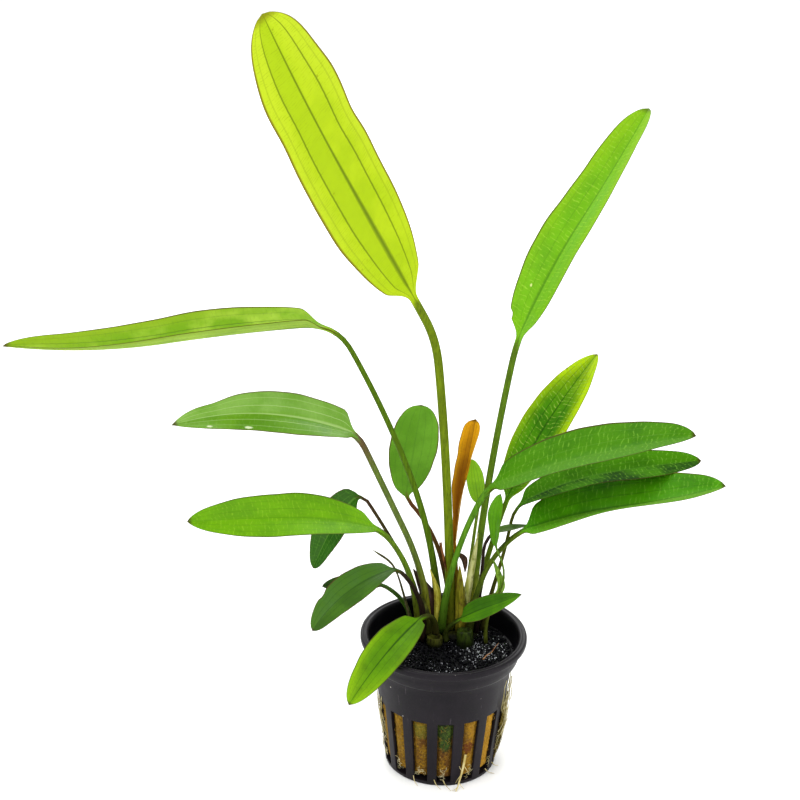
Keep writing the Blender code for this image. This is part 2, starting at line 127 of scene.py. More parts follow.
class Tree:
    """Short names for the nodes of one material."""

    def __init__(self, name):
        self.mat = bpy.data.materials.new(name)
        self.mat.use_nodes = True
        self.t = self.mat.node_tree
        self.t.nodes.clear()
        self.out = self.t.nodes.new("ShaderNodeOutputMaterial")

    def put(self, socket, value):
        if isinstance(value, bpy.types.NodeSocket):
            self.t.links.new(value, socket)
        elif value is not None:
            socket.default_value = value

    def math(self, op, a, b=None, c=None, clamp=False):
        n = self.t.nodes.new("ShaderNodeMath")
        n.operation, n.use_clamp = op, clamp
        for i, v in enumerate((a, b, c)):
            if v is not None:
                self.put(n.inputs[i], v)
        return n.outputs[0]

    def ramp(self, value, low, high, to_low=0.0, to_high=1.0, smooth=True):
        n = self.t.nodes.new("ShaderNodeMapRange")
        n.interpolation_type = "SMOOTHSTEP" if smooth else "LINEAR"
        for i, v in enumerate((value, low, high, to_low, to_high)):
            self.put(n.inputs[i], v)
        return n.outputs[0]

    def mix(self, factor, a, b, blend="MIX"):
        n = self.t.nodes.new("ShaderNodeMix")
        n.data_type, n.blend_type = "RGBA", blend
        self.put(n.inputs[0], factor)
        self.put(n.inputs[6], a)
        self.put(n.inputs[7], b)
        return n.outputs[2]

    def place(self):
        return self.t.nodes.new("ShaderNodeTexCoord").outputs["Object"]

    def uv(self, name):
        n = self.t.nodes.new("ShaderNodeUVMap")
        n.uv_map = name
        s = self.t.nodes.new("ShaderNodeSeparateXYZ")
        self.put(s.inputs[0], n.outputs[0])
        return s.outputs[0], s.outputs[1]

    def split(self, vector):
        s = self.t.nodes.new("ShaderNodeSeparateXYZ")
        self.put(s.inputs[0], vector)
        return s.outputs

    def join(self, x, y, z=0.0):
        n = self.t.nodes.new("ShaderNodeCombineXYZ")
        for i, v in enumerate((x, y, z)):
            self.put(n.inputs[i], v)
        return n.outputs[0]

    def noise(self, vector, scale, detail=2.0, rough=0.5, distortion=0.0):
        n = self.t.nodes.new("ShaderNodeTexNoise")
        self.put(n.inputs["Vector"], vector)
        n.inputs["Scale"].default_value = scale
        n.inputs["Detail"].default_value = detail
        n.inputs["Roughness"].default_value = rough
        n.inputs["Distortion"].default_value = distortion
        return n.outputs["Fac"]

    def cells(self, vector, scale, feature="F1"):
        n = self.t.nodes.new("ShaderNodeTexVoronoi")
        n.feature = feature
        self.put(n.inputs["Vector"], vector)
        n.inputs["Scale"].default_value = scale
        return n.outputs

    def scaled(self, vector, x, y, z):
        n = self.t.nodes.new("ShaderNodeMapping")
        self.put(n.inputs["Vector"], vector)
        n.inputs["Scale"].default_value = (x, y, z)
        return n.outputs[0]

    def bump(self, height, strength, distance):
        n = self.t.nodes.new("ShaderNodeBump")
        n.inputs["Strength"].default_value = strength
        n.inputs["Distance"].default_value = distance
        self.put(n.inputs["Height"], height)
        return n.outputs[0]

    def surface(self, colour, roughness, normal=None, specular=0.5, through=0.0, glow=None, coat=0.0, sheen=0.0):
        p = self.t.nodes.new("ShaderNodeBsdfPrincipled")
        self.put(p.inputs["Base Color"], colour)
        self.put(p.inputs["Roughness"], roughness)
        p.inputs["Specular IOR Level"].default_value = specular
        p.inputs["Coat Weight"].default_value = coat
        p.inputs["Coat Roughness"].default_value = 0.12
        p.inputs["Sheen Weight"].default_value = sheen
        if normal is not None:
            self.put(p.inputs["Normal"], normal)
        last = p.outputs[0]
        if through:
            tr = self.t.nodes.new("ShaderNodeBsdfTranslucent")
            self.put(tr.inputs["Color"], glow if glow is not None else colour)
            m = self.t.nodes.new("ShaderNodeMixShader")
            m.inputs[0].default_value = through
            self.t.links.new(last, m.inputs[1])
            self.t.links.new(tr.outputs[0], m.inputs[2])
            last = m.outputs[0]
        self.t.links.new(last, self.out.inputs["Surface"])
        return self.mat


# ---------------------------------------------------------------- materials
def leaf_material(name, base, deep, vein, stalk, foot, margin=(96, 78, 46), edge=None, right=None, cross=None, cross_amount=0.5,
                  vein_amount=0.75, mid_amount=0.9, through=0.28, gloss=0.50, tip=(70, 44, 20), blade_mm=70.0, spots=0.0, shine=0.12,
                  band=None, laterals_at=(0.36, 0.70), outer=0.75, cross_mm=1.45, slant=7.0, edge_left=1.0, neck=None, foot_top=0.074, marks=()):
    """Leaf tissue. The map's first number is the distance past the neck in tenths of a metre, its second the
    share of the half width, from -1 at the left margin to 1 at the right."""
    t = Tree(name)
    u, v = t.uv("leaf")
    here = t.place()
    side = t.math("ABSOLUTE", v)
    length = blade_mm / 100.0
    soft = t.noise(here, 95.0, 3.0, 0.55)
    fine = t.noise(here, 1500.0, 3.0, 0.6)
    colour = t.mix(t.ramp(soft, 0.38, 0.66), lin(*base), lin(*deep))
    # A second colour for the right half of the blade: its own tone on most leaves, painted shade, highlight or sheen on
    # some.
    if right is not None:
        colour = t.mix(t.ramp(v, -0.10, 0.12), colour, t.mix(t.ramp(soft, 0.38, 0.70), lin(*right), lin(*base)))
    # An edge colour along the margin and towards the tip: a lighter or yellower margin on most leaves, painted
    # backlight glow on leaf_back_right.
    if edge is not None:
        rim = t.math("MULTIPLY", t.ramp(side, 0.45, 1.0), t.ramp(u, 0.10 * length, 0.60 * length, 0.25, 1.0))
        rim = t.math("MULTIPLY", rim, t.ramp(v, -0.1, 0.1, edge_left, 1.0))
        near_tip = t.math("MULTIPLY", t.ramp(u, 0.55 * length, 1.0 * length), t.ramp(side, 0.0, 0.5, 0.45, 1.0))
        towards = t.math("ADD", rim, near_tip, clamp=True)
        wob = t.math("MULTIPLY", towards, t.ramp(t.noise(here, 260.0, 3.0, 0.6), 0.20, 0.50, 0.55, 1.0), clamp=True)
        colour = t.mix(wob, colour, lin(*edge))
    colour = t.mix(t.ramp(fine, 0.35, 0.75, 0.0, 0.16), colour, lin(*deep))
    if band is not None:
        inside = t.math("MULTIPLY", t.ramp(v, -0.08, 0.02), t.ramp(v, laterals_at[0] - 0.04, laterals_at[0] + 0.04, 1.0, 0.0))
        colour = t.mix(t.math("MULTIPLY", inside, 0.8), colour, lin(*band))

    def line(centre, half):
        return t.ramp(t.math("ABSOLUTE", t.math("SUBTRACT", side, centre)), half * 0.25, half, 1.0, 0.0)

    # Side veins keep their share of the half width, so they arch with the margin and meet at the tip.
    rib_width = t.ramp(u, 0.0, 0.65 * length, 0.105, 0.030)
    mid = t.math("SUBTRACT", 1.0, t.math("SMOOTH_MIN", t.math("DIVIDE", side, rib_width), 1.0, 0.2), clamp=True)
    mid = t.math("POWER", mid, 0.6)
    laterals = t.math("MAXIMUM", line(laterals_at[0], 0.030), t.math("MULTIPLY", line(laterals_at[1], 0.028), outer))
    # Cross veins: short slanting lines about a millimetre apart, broken up and strongest between the side veins.
    wander = t.noise(t.join(t.math("MULTIPLY", u, 24.0), t.math("MULTIPLY", v, 2.4)), 1.0, 2.0, 0.5)
    phase = t.math("ADD", t.math("MULTIPLY", u, 100.0 * 6.2832 / cross_mm), t.math("ADD", t.math("MULTIPLY", side, -slant), t.math("MULTIPLY", wander, 13.0)))
    ribs = t.math("POWER", t.math("MAXIMUM", t.math("SINE", phase), 0.0), 5.0)
    broken = t.ramp(t.noise(t.join(t.math("MULTIPLY", u, 55.0), t.math("MULTIPLY", v, 5.0)), 1.0, 2.0, 0.6), 0.42, 0.60)
    ribs = t.math("MULTIPLY", t.math("MULTIPLY", ribs, broken), t.ramp(side, 0.86, 0.97, 1.0, 0.0))
    colour = t.mix(t.math("MULTIPLY", ribs, cross_amount), colour, lin(*(cross or vein)))
    colour = t.mix(t.math("MULTIPLY", laterals, vein_amount), colour, lin(*vein))
    colour = t.mix(t.math("MULTIPLY", mid, mid_amount), colour, lin(*vein))
    colour = t.mix(t.math("MULTIPLY", t.ramp(side, 0.930, 0.972), 0.85), colour, lin(*margin))
    colour = t.mix(t.math("MULTIPLY", t.ramp(u, 0.956 * length, 0.980 * length), 0.85), colour, lin(*tip))
    for mark_u, mark_v, long, wide, mark in marks:
        a = t.math("DIVIDE", t.math("SUBTRACT", u, mark_u), long)
        b = t.math("DIVIDE", t.math("SUBTRACT", v, mark_v), wide)
        away = t.math("ADD", t.math("SQRT", t.math("ADD", t.math("POWER", a, 2.0), t.math("POWER", b, 2.0))), t.math("MULTIPLY", fine, 0.8))
        colour = t.mix(t.ramp(away, 0.9, 1.4, 0.9, 0.0), colour, lin(*mark))
    if spots:
        dots = t.ramp(t.cells(here, 210.0)[0], 0.05, 0.11, 1.0, 0.0)
        few = t.ramp(t.noise(here, 140.0, 1.0), 0.56, 0.60)
        colour = t.mix(t.math("MULTIPLY", t.math("MULTIPLY", dots, few), spots), colour, lin(*tip))
    # The stalk is olive with fine dark flecks along it, and pales or darkens towards its foot.
    x, y, z = t.split(here)
    stretched = t.scaled(here, 1.0, 1.0, 0.28)
    flecks = t.ramp(t.noise(stretched, 1900.0, 3.0, 0.6), 0.50, 0.68)
    stalk_colour = t.mix(t.math("MULTIPLY", flecks, 0.45), lin(*stalk), lin(*[c * 0.48 for c in stalk]))
    long_lines = t.ramp(t.noise(t.scaled(here, 1.0, 1.0, 0.05), 1300.0, 2.0, 0.5), 0.45, 0.62)
    stalk_colour = t.mix(t.math("MULTIPLY", long_lines, 0.35), stalk_colour, lin(*[min(255, c * 1.28 + 6) for c in stalk]))
    stalk_colour = t.mix(t.ramp(z, 0.043, foot_top, 0.92, 0.0), stalk_colour, t.mix(flecks, lin(*foot), lin(*[c * 0.62 for c in foot])))
    if neck is not None:
        stalk_colour = t.mix(t.ramp(u, -0.16, -0.01, 0.0, 0.85), stalk_colour, lin(*neck))
    on_blade = t.ramp(t.math("ADD", u, t.math("MULTIPLY", side, 0.03)), -0.004, 0.034)
    colour = t.mix(on_blade, stalk_colour, colour)
    relief = t.math("ADD", t.math("MULTIPLY", ribs, 0.35), t.math("SUBTRACT", t.math("MULTIPLY", fine, 0.35), t.math("MULTIPLY", laterals, 0.8)))
    glow = t.mix(0.45, colour, lin(*[min(255, base[0] * 1.15 + 12), min(255, base[1] * 1.05 + 8), base[2] * 0.4]), "MIX")
    glow = t.mix(on_blade, stalk_colour, glow)
    glow = t.mix(t.math("MULTIPLY", t.math("MAXIMUM", mid, laterals), 0.7), glow, lin(*vein))
    rough = t.ramp(fine, 0.3, 0.7, gloss - 0.05, gloss + 0.10)
    return t.surface(colour, rough, t.bump(relief, 0.45, 0.00012), specular=shine, through=through, glow=glow)


def plastic_material():
    t = Tree("black_plastic_worn")
    here = t.place()
    broad, fine = t.noise(here, 70.0, 3.0, 0.6), t.noise(here, 1800.0, 3.0, 0.6)
    colour = t.mix(t.ramp(broad, 0.35, 0.70), lin(18, 15, 20), lin(29, 25, 30))
    colour = t.mix(t.ramp(fine, 0.45, 0.80, 0.0, 0.30), colour, lin(40, 35, 40))
    # Fine upright scuffs, and pale mineral specks of two sizes.
    scuff = t.ramp(t.noise(t.scaled(here, 1.0, 1.0, 0.10), 900.0, 4.0, 0.7), 0.63, 0.74, 0.0, 0.35)
    colour = t.mix(scuff, colour, lin(98, 92, 98))
    for scale, size, keep in ((120.0, 0.040, 0.35), (260.0, 0.055, 0.50)):
        cell = t.cells(here, scale)
        dot = t.ramp(t.math("ADD", cell[0], t.math("MULTIPLY", fine, 0.03)), size * 0.6, size * 1.25, 1.0, 0.0)
        pick = t.math("GREATER_THAN", t.split(cell[1])[0], keep)
        colour = t.mix(t.math("MULTIPLY", t.math("MULTIPLY", dot, pick), 0.85), colour, lin(214, 208, 200))
    x, y, z = t.split(here)
    colour = t.mix(t.ramp(z, 0.0005, 0.006, 0.35, 0.0), colour, lin(22, 17, 17))
    # Painted shade: the inside of the wall, from the grit up to the rim top, is painted near black.
    radius = t.math("SQRT", t.math("ADD", t.math("POWER", x, 2.0), t.math("POWER", y, 2.0)))
    limit = t.math("ADD", 0.02455, t.math("MULTIPLY", t.math("SUBTRACT", z, 0.041), 0.17))
    inside = t.math("MULTIPLY", t.ramp(t.math("SUBTRACT", radius, limit), -0.0001, 0.0001, 1.0, 0.0), t.ramp(z, 0.0402, 0.0405))
    inside = t.math("MULTIPLY", inside, t.ramp(z, 0.0480, 0.0484, 1.0, 0.0))
    colour = t.mix(inside, colour, lin(6, 5, 9))
    rough = t.ramp(broad, 0.3, 0.7, 0.38, 0.55)
    return t.surface(colour, rough, t.bump(fine, 0.30, 0.00006), specular=0.12)


def wool_material():
    t = Tree("mineral_wool_damp")
    here = t.place()
    x, y, z = t.split(here)
    grain, fibre = t.noise(here, 1150.0, 4.0, 0.7), t.noise(t.scaled(here, 1.0, 1.0, 0.35), 2400.0, 3.0, 0.7)
    patch = t.noise(here, 170.0, 4.0, 0.65)
    colour = t.mix(t.ramp(grain, 0.34, 0.66), lin(66, 44, 8), lin(140, 104, 20))
    colour = t.mix(t.ramp(patch, 0.42, 0.62, 0.0, 0.75), colour, lin(72, 40, 12))
    colour = t.mix(t.ramp(fibre, 0.58, 0.72, 0.0, 0.60), colour, lin(188, 148, 54))
    # The left side is paler and yellower, one slot right of the centre has a rusty spot, and green algae
    # fill the upper part of the front slot.
    colour = t.mix(t.ramp(x, -0.008, -0.018, 0.0, 0.45), colour, lin(150, 116, 24))
    colour = t.mix(t.ramp(x, 0.006, 0.013, 0.0, 0.60), colour, lin(186, 138, 36))

    def near(px, py, pz, reach):
        d = t.math("ADD", t.math("POWER", t.math("SUBTRACT", x, px * MM), 2.0), t.math("ADD", t.math("POWER", t.math("SUBTRACT", y, py * MM), 2.0),
                   t.math("POWER", t.math("SUBTRACT", z, pz * MM), 2.0)))
        d = t.math("ADD", t.math("SQRT", d), t.math("MULTIPLY", t.math("SUBTRACT", grain, 0.5), 0.006))
        return t.ramp(d, reach * 0.55 * MM, reach * MM, 1.0, 0.0)

    colour = t.mix(t.math("MULTIPLY", near(9.6, -18.4, 14.5, 3.6), 0.8), colour, lin(84, 34, 12))
    green = t.math("MAXIMUM", near(1.0, -21.0, 22.5, 5.6), near(1.0, -20.6, 17.0, 3.4))
    colour = t.mix(t.math("MULTIPLY", green, 0.92), colour, t.mix(t.ramp(grain, 0.35, 0.62), lin(14, 30, 8), lin(52, 80, 26)))
    colour = t.mix(t.math("MULTIPLY", near(-7.6, -19.4, 22.0, 4.2), 0.45), colour, lin(96, 104, 30))
    sparkle = t.ramp(t.cells(here, 900.0)[0], 0.10, 0.17, 1.0, 0.0)
    colour = t.mix(t.math("MULTIPLY", sparkle, t.ramp(grain, 0.48, 0.60, 0.0, 0.55)), colour, lin(206, 182, 112))
    return t.surface(colour, t.ramp(grain, 0.3, 0.7, 0.55, 0.85), t.bump(t.math("ADD", grain, t.math("MULTIPLY", fibre, 0.6)), 0.9, 0.0003), specular=0.12)


def grit_material(name, dark, light, rough, specular=0.6):
    t = Tree(name)
    here = t.place()
    grain = t.noise(here, 900.0, 3.0, 0.6)
    colour = t.mix(t.ramp(grain, 0.35, 0.68), lin(*dark), lin(*light))
    return t.surface(colour, t.ramp(grain, 0.3, 0.7, rough * 0.6, rough * 1.4), t.bump(grain, 0.7, 0.0002), specular=specular)


def tissue_material(name, low, high, speck, rough=0.5, through=0.0, spec=0.12, foot=0.0):
    """Old plant tissue: long streaks, dark flecks and a mottle."""
    t = Tree(name)
    here = t.place()
    streak = t.noise(t.scaled(here, 1.0, 1.0, 0.12), 1100.0, 4.0, 0.65)
    mottle = t.noise(here, 420.0, 4.0, 0.65)
    colour = t.mix(t.ramp(streak, 0.36, 0.64), lin(*low), lin(*high))
    colour = t.mix(t.ramp(mottle, 0.50, 0.68, 0.0, 0.75), colour, lin(*speck))
    # Painted shade: near black from the grit up to the height foot, where the bases crowd together.
    if foot:
        colour = t.mix(t.ramp(t.split(here)[2], 0.0412, foot, 0.92, 0.0), colour, lin(7, 9, 4))
    return t.surface(colour, t.ramp(mottle, 0.3, 0.7, rough - 0.1, rough + 0.15), t.bump(streak, 0.8, 0.0002), specular=spec, through=through)


def root_material(name, low, high, stain):
    t = Tree(name)
    here = t.place()
    soft, fine = t.noise(here, 240.0, 3.0, 0.6), t.noise(here, 2200.0, 2.0, 0.5)
    colour = t.mix(t.ramp(soft, 0.35, 0.65), lin(*low), lin(*high))
    colour = t.mix(t.ramp(fine, 0.55, 0.75, 0.0, 0.6), colour, lin(*stain))
    return t.surface(colour, 0.6, t.bump(fine, 0.4, 0.00008), specular=0.15, through=0.15)


# ---------------------------------------------------------------- mesh helpers
def piece(name, verts, faces, mat, nodes=(), uv=None, smooth=True):
    """One mesh object, in millimetres, that rides on the model's body and stands for the named solids."""
    mesh = bpy.data.meshes.new(name)
    v = np.asarray(verts, dtype=float).reshape(-1, 3) * MM
    mesh.from_pydata(v.tolist(), [], faces)
    if uv is not None:
        layer = mesh.uv_layers.new(name="leaf")
        loops = np.empty(len(mesh.loops), dtype=np.int32)
        mesh.loops.foreach_get("vertex_index", loops)
        layer.data.foreach_set("uv", np.asarray(uv, dtype=np.float32)[loops].ravel())
    mesh.materials.append(mat)
    bm = bmesh.new()
    bm.from_mesh(mesh)
    bmesh.ops.recalc_face_normals(bm, faces=bm.faces)
    bm.to_mesh(mesh)
    bm.free()
    if smooth:
        mesh.shade_smooth()
    obj = bpy.data.objects.new(name, mesh)
    bpy.context.scene.collection.objects.link(obj)
    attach(obj, "root")
    if nodes:
        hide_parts(*nodes)
    return obj


def ring_faces(rows, n, closed_ends=True, offset=0):
    """Quads between rows of n points, each row listed the same way round, with a fan over each end."""
    faces = []
    for i in range(rows - 1):
        a, b = offset + i * n, offset + (i + 1) * n
        for k in range(n):
            j = (k + 1) % n
            faces.append((a + k, a + j, b + j, b + k))
    if closed_ends:
        faces.append(tuple(offset + k for k in range(n))[::-1])
        faces.append(tuple(offset + (rows - 1) * n + k for k in range(n)))
    return faces


def tubes(strands, sides=5):
    """Vertices and faces of many thin tubes, each given as (points, radius at each point)."""
    verts, faces = [], []
    for points, radii in strands:
        p = np.asarray(points, float)
        r = np.broadcast_to(np.asarray(radii, float), (len(p),))
        t = np.gradient(p, axis=0)
        t /= np.maximum(np.linalg.norm(t, axis=1), 1e-9)[:, None]
        ref = np.array([0.31, 0.52, 0.80])
        a = np.cross(t, ref)
        a /= np.maximum(np.linalg.norm(a, axis=1), 1e-6)[:, None]
        b = np.cross(t, a)
        base = len(verts)
        for i in range(len(p)):
            for k in range(sides):
                g = 2 * math.pi * k / sides
                verts.append(p[i] + (a[i] * math.cos(g) + b[i] * math.sin(g)) * r[i])
        faces += ring_faces(len(p), sides, True, base)
    return np.array(verts), faces


def smooth_path(points, count):
    """A smooth run of points through the given ones."""
    p = np.asarray(points, float)
    p = np.vstack([2 * p[0] - p[1], p, 2 * p[-1] - p[-2]])
    out = []
    n = len(p) - 3
    for s in np.linspace(0, n - 1e-6, count):
        i = int(s)
        f = s - i
        a, b, c, d = p[i : i + 4]
        out.append(0.5 * (2 * b + (c - a) * f + (2 * a - 5 * b + 4 * c - d) * f * f + (3 * b - a - 3 * c + d) * f**3))
    return np.array(out)


# ---------------------------------------------------------------- leaves
def midrib(spec):
    stalk, blade = spec["stalk"], spec["blade"]
    join, neck = stalk[0], NECK_SHARE * blade[0]
    stations = (0, spec.get("bend", 0.5) * join, join - neck, join + neck, join + 0.5 * blade[0], join + blade[0])
    s = np.linspace(0, join + blade[0], 901)
    lean = np.radians(np.interp(s, stations, stalk[1:] + blade[1:]))
    window = np.hanning(41)
    window /= window.sum()
    lean = np.convolve(np.pad(lean, 20, mode="edge"), window, mode="valid")
    headings = np.atleast_1d(spec["heading"])
    turn = np.radians(np.interp(s, (join - neck, join + neck), (headings[0], headings[-1])))
    way = np.stack([np.sin(lean) * np.cos(turn), np.sin(lean) * np.sin(turn), np.cos(lean)], 1)
    steps = 0.5 * (way[1:] + way[:-1]) * (s[1] - s[0])
    return s, np.array(spec["root"], float) + np.concatenate([np.zeros((1, 3)), np.cumsum(steps, 0)]), way


def read(table, s, at):
    return np.stack([np.interp(at, s, table[:, i]) for i in range(3)], 1)


def through_three(three, u):
    start, middle, end = three
    return start + (end - start) * u + (4 * middle - 2 * start - 2 * end) * u * (1 - u)


def outline(u, base, tip):
    peak = base / (base + tip)
    return np.clip(u, 0, 1) ** base * np.clip(1 - u, 0, 1) ** tip / (peak**base * (1 - peak) ** tip)


def leaf(name, spec, mat, slot, wave=0.5, waves=2.5, phase=0.0, curl=0.0, sides=(1.0, 1.0), notches=(), thick=0.17, wobble=0.010,
         reach=0.985, fold=None, shape=None, shapes=None, flare=0.40):
    """A thin leaf: a ribbed stalk that opens into a blade with a keeled midrib, sunken side veins, a slightly
    wavy blade and an uneven margin. sides are the widths of the left and right halves, notches are
    (side, place, length, depth), wave is the ripple's height in millimetres."""
    dist, line, way = midrib(spec)
    join, blade_len = spec["stalk"][0], spec["blade"][0]
    n_stalk = int(max(14, join / 2.6))
    n_blade = int(max(34, blade_len / 1.15))
    half_count = 15 if spec["width"] > 10 else 11
    v = np.linspace(0, 1, n_blade)
    share_blade = (0.30 * 0.5 * (1 - np.cos(np.pi * v)) + 0.70 * v) * reach
    stalk_share = np.linspace(0, 1, n_stalk, endpoint=False)
    at = np.concatenate([stalk_share * join, join + share_blade * blade_len])
    pts, t = read(line, dist, at), read(way, dist, at)
    t /= np.linalg.norm(t, axis=1)[:, None]
    a = math.radians(float(np.atleast_1d(spec["heading"])[-1]))
    side = np.array([math.sin(a), -math.cos(a), 0.0])
    across = side - (t @ side)[:, None] * t
    across /= np.linalg.norm(across, axis=1)[:, None]
    up = np.cross(across, t)
    theta = np.linspace(0, math.pi, half_count)
    shares = np.cos(theta)
    ring = [(s, 1) for s in shares] + [(s, -1) for s in shares[-2:0:-1]]
    n = len(ring)
    verts, uv = [], []
    for i, p in enumerate(pts):
        on_stalk = i < n_stalk
        s = stalk_share[i] if on_stalk else 1.0
        u = 0.0 if on_stalk else share_blade[i - n_stalk]
        roll = math.radians(spec["roll"][0] * s * s if on_stalk else through_three(spec["roll"], u))
        stalk_half = 0.5 * (spec["stalk_width"][0] + (spec["stalk_width"][1] - spec["stalk_width"][0]) * s**0.6)
        flat = min(1.0, u / 0.09)
        flat = flat * flat * (3 - 2 * flat)
        both = shapes or (shape or spec["shape"],) * 2
        halves = [0.5 * spec["width"] * float(outline(u, *one)) * math.sqrt(max(0.0, 1 - (u / reach) ** 40)) for one in both]
        lat = across[i] * math.cos(roll) + up[i] * math.sin(roll)
        nor = np.cross(lat, t[i])
        fold_now = math.radians(spec.get("fold", FOLD) if fold is None else fold) * flat
        foot = 1.0 + flare * math.exp(-(((s * join) / 15.0) ** 2)) if on_stalk else 1.0
        rib = stalk_half * STALK_FLATNESS * (1 - u) ** 2.2 * (1 - 0.35 * flat) + 0.10 * (1 - u)
        rib_half = max(stalk_half * (1 - 0.82 * u), 0.35)
        for sh, face in ring:
            round_lat = sh * stalk_half * foot
            hump = math.sqrt(max(0.0, 1 - sh * sh))
            channel = 0.34 * math.exp(-((sh / 0.34) ** 2)) if face > 0 else 0.0
            round_up = face * stalk_half * STALK_FLATNESS * foot * (hump - channel * (0.4 + 0.6 * s))
            my_side = sides[1] if sh > 0 else sides[0]
            uneven = 1 + wobble * math.sin(u * (17.0 + 5 * math.copysign(1, sh)) + phase * 2.1) + 0.5 * wobble * math.sin(u * 41.0 + phase)
            for which, place, long, depth in notches:
                if which * sh > 0:
                    uneven *= 1 - depth * math.exp(-(((u - place) / long) ** 2))
            wide = max(halves[1 if sh > 0 else 0] * my_side * uneven, stalk_half * (1 - u) ** 4 * 0.9, 0.10)
            mm_across = abs(sh) * wide
            keel = math.sqrt(sh * sh + 0.0035) - 0.059
            ripple = wave * flat * min(1.0, 6 * (1 - u)) * abs(sh) ** 1.6 * math.sin(2 * math.pi * waves * u + phase + (1.3 if sh > 0 else 0.0))
            quilt = 0.07 * flat * math.sin(2 * math.pi * u * blade_len / 3.1 + phase) * math.sin(math.pi * min(1.0, abs(sh) * 1.5))
            body = wide * (math.sin(fold_now) * keel - curl * flat * sh * sh) + ripple + quilt
            veins = 0.10 * math.exp(-(((abs(sh) - 0.36) / 0.05) ** 2)) + 0.07 * math.exp(-(((abs(sh) - 0.70) / 0.05) ** 2))
            skin = thick * (1 - abs(sh) ** 5 * 0.72)
            if face > 0:
                lift = skin - 0.55 * veins - 0.16 * flat * math.exp(-((mm_across / (rib_half * 0.55)) ** 2))
            else:
                lift = -(skin + veins * 0.8 + rib * math.exp(-((mm_across / (rib_half * 0.85)) ** 2)))
            q = p + lat * (round_lat * (1 - flat) + sh * wide * math.cos(fold_now) * flat) + nor * (round_up * (1 - flat) + (body + lift) * flat)
            verts.append(q)
            uv.append(((at[i] - join) / 100.0, sh))
    verts = np.array(verts)
    verts[:, 2] = np.maximum(verts[:, 2], 0.3)
    return piece(name + "_fine", verts, ring_faces(len(pts), n), mat, (name,), uv)


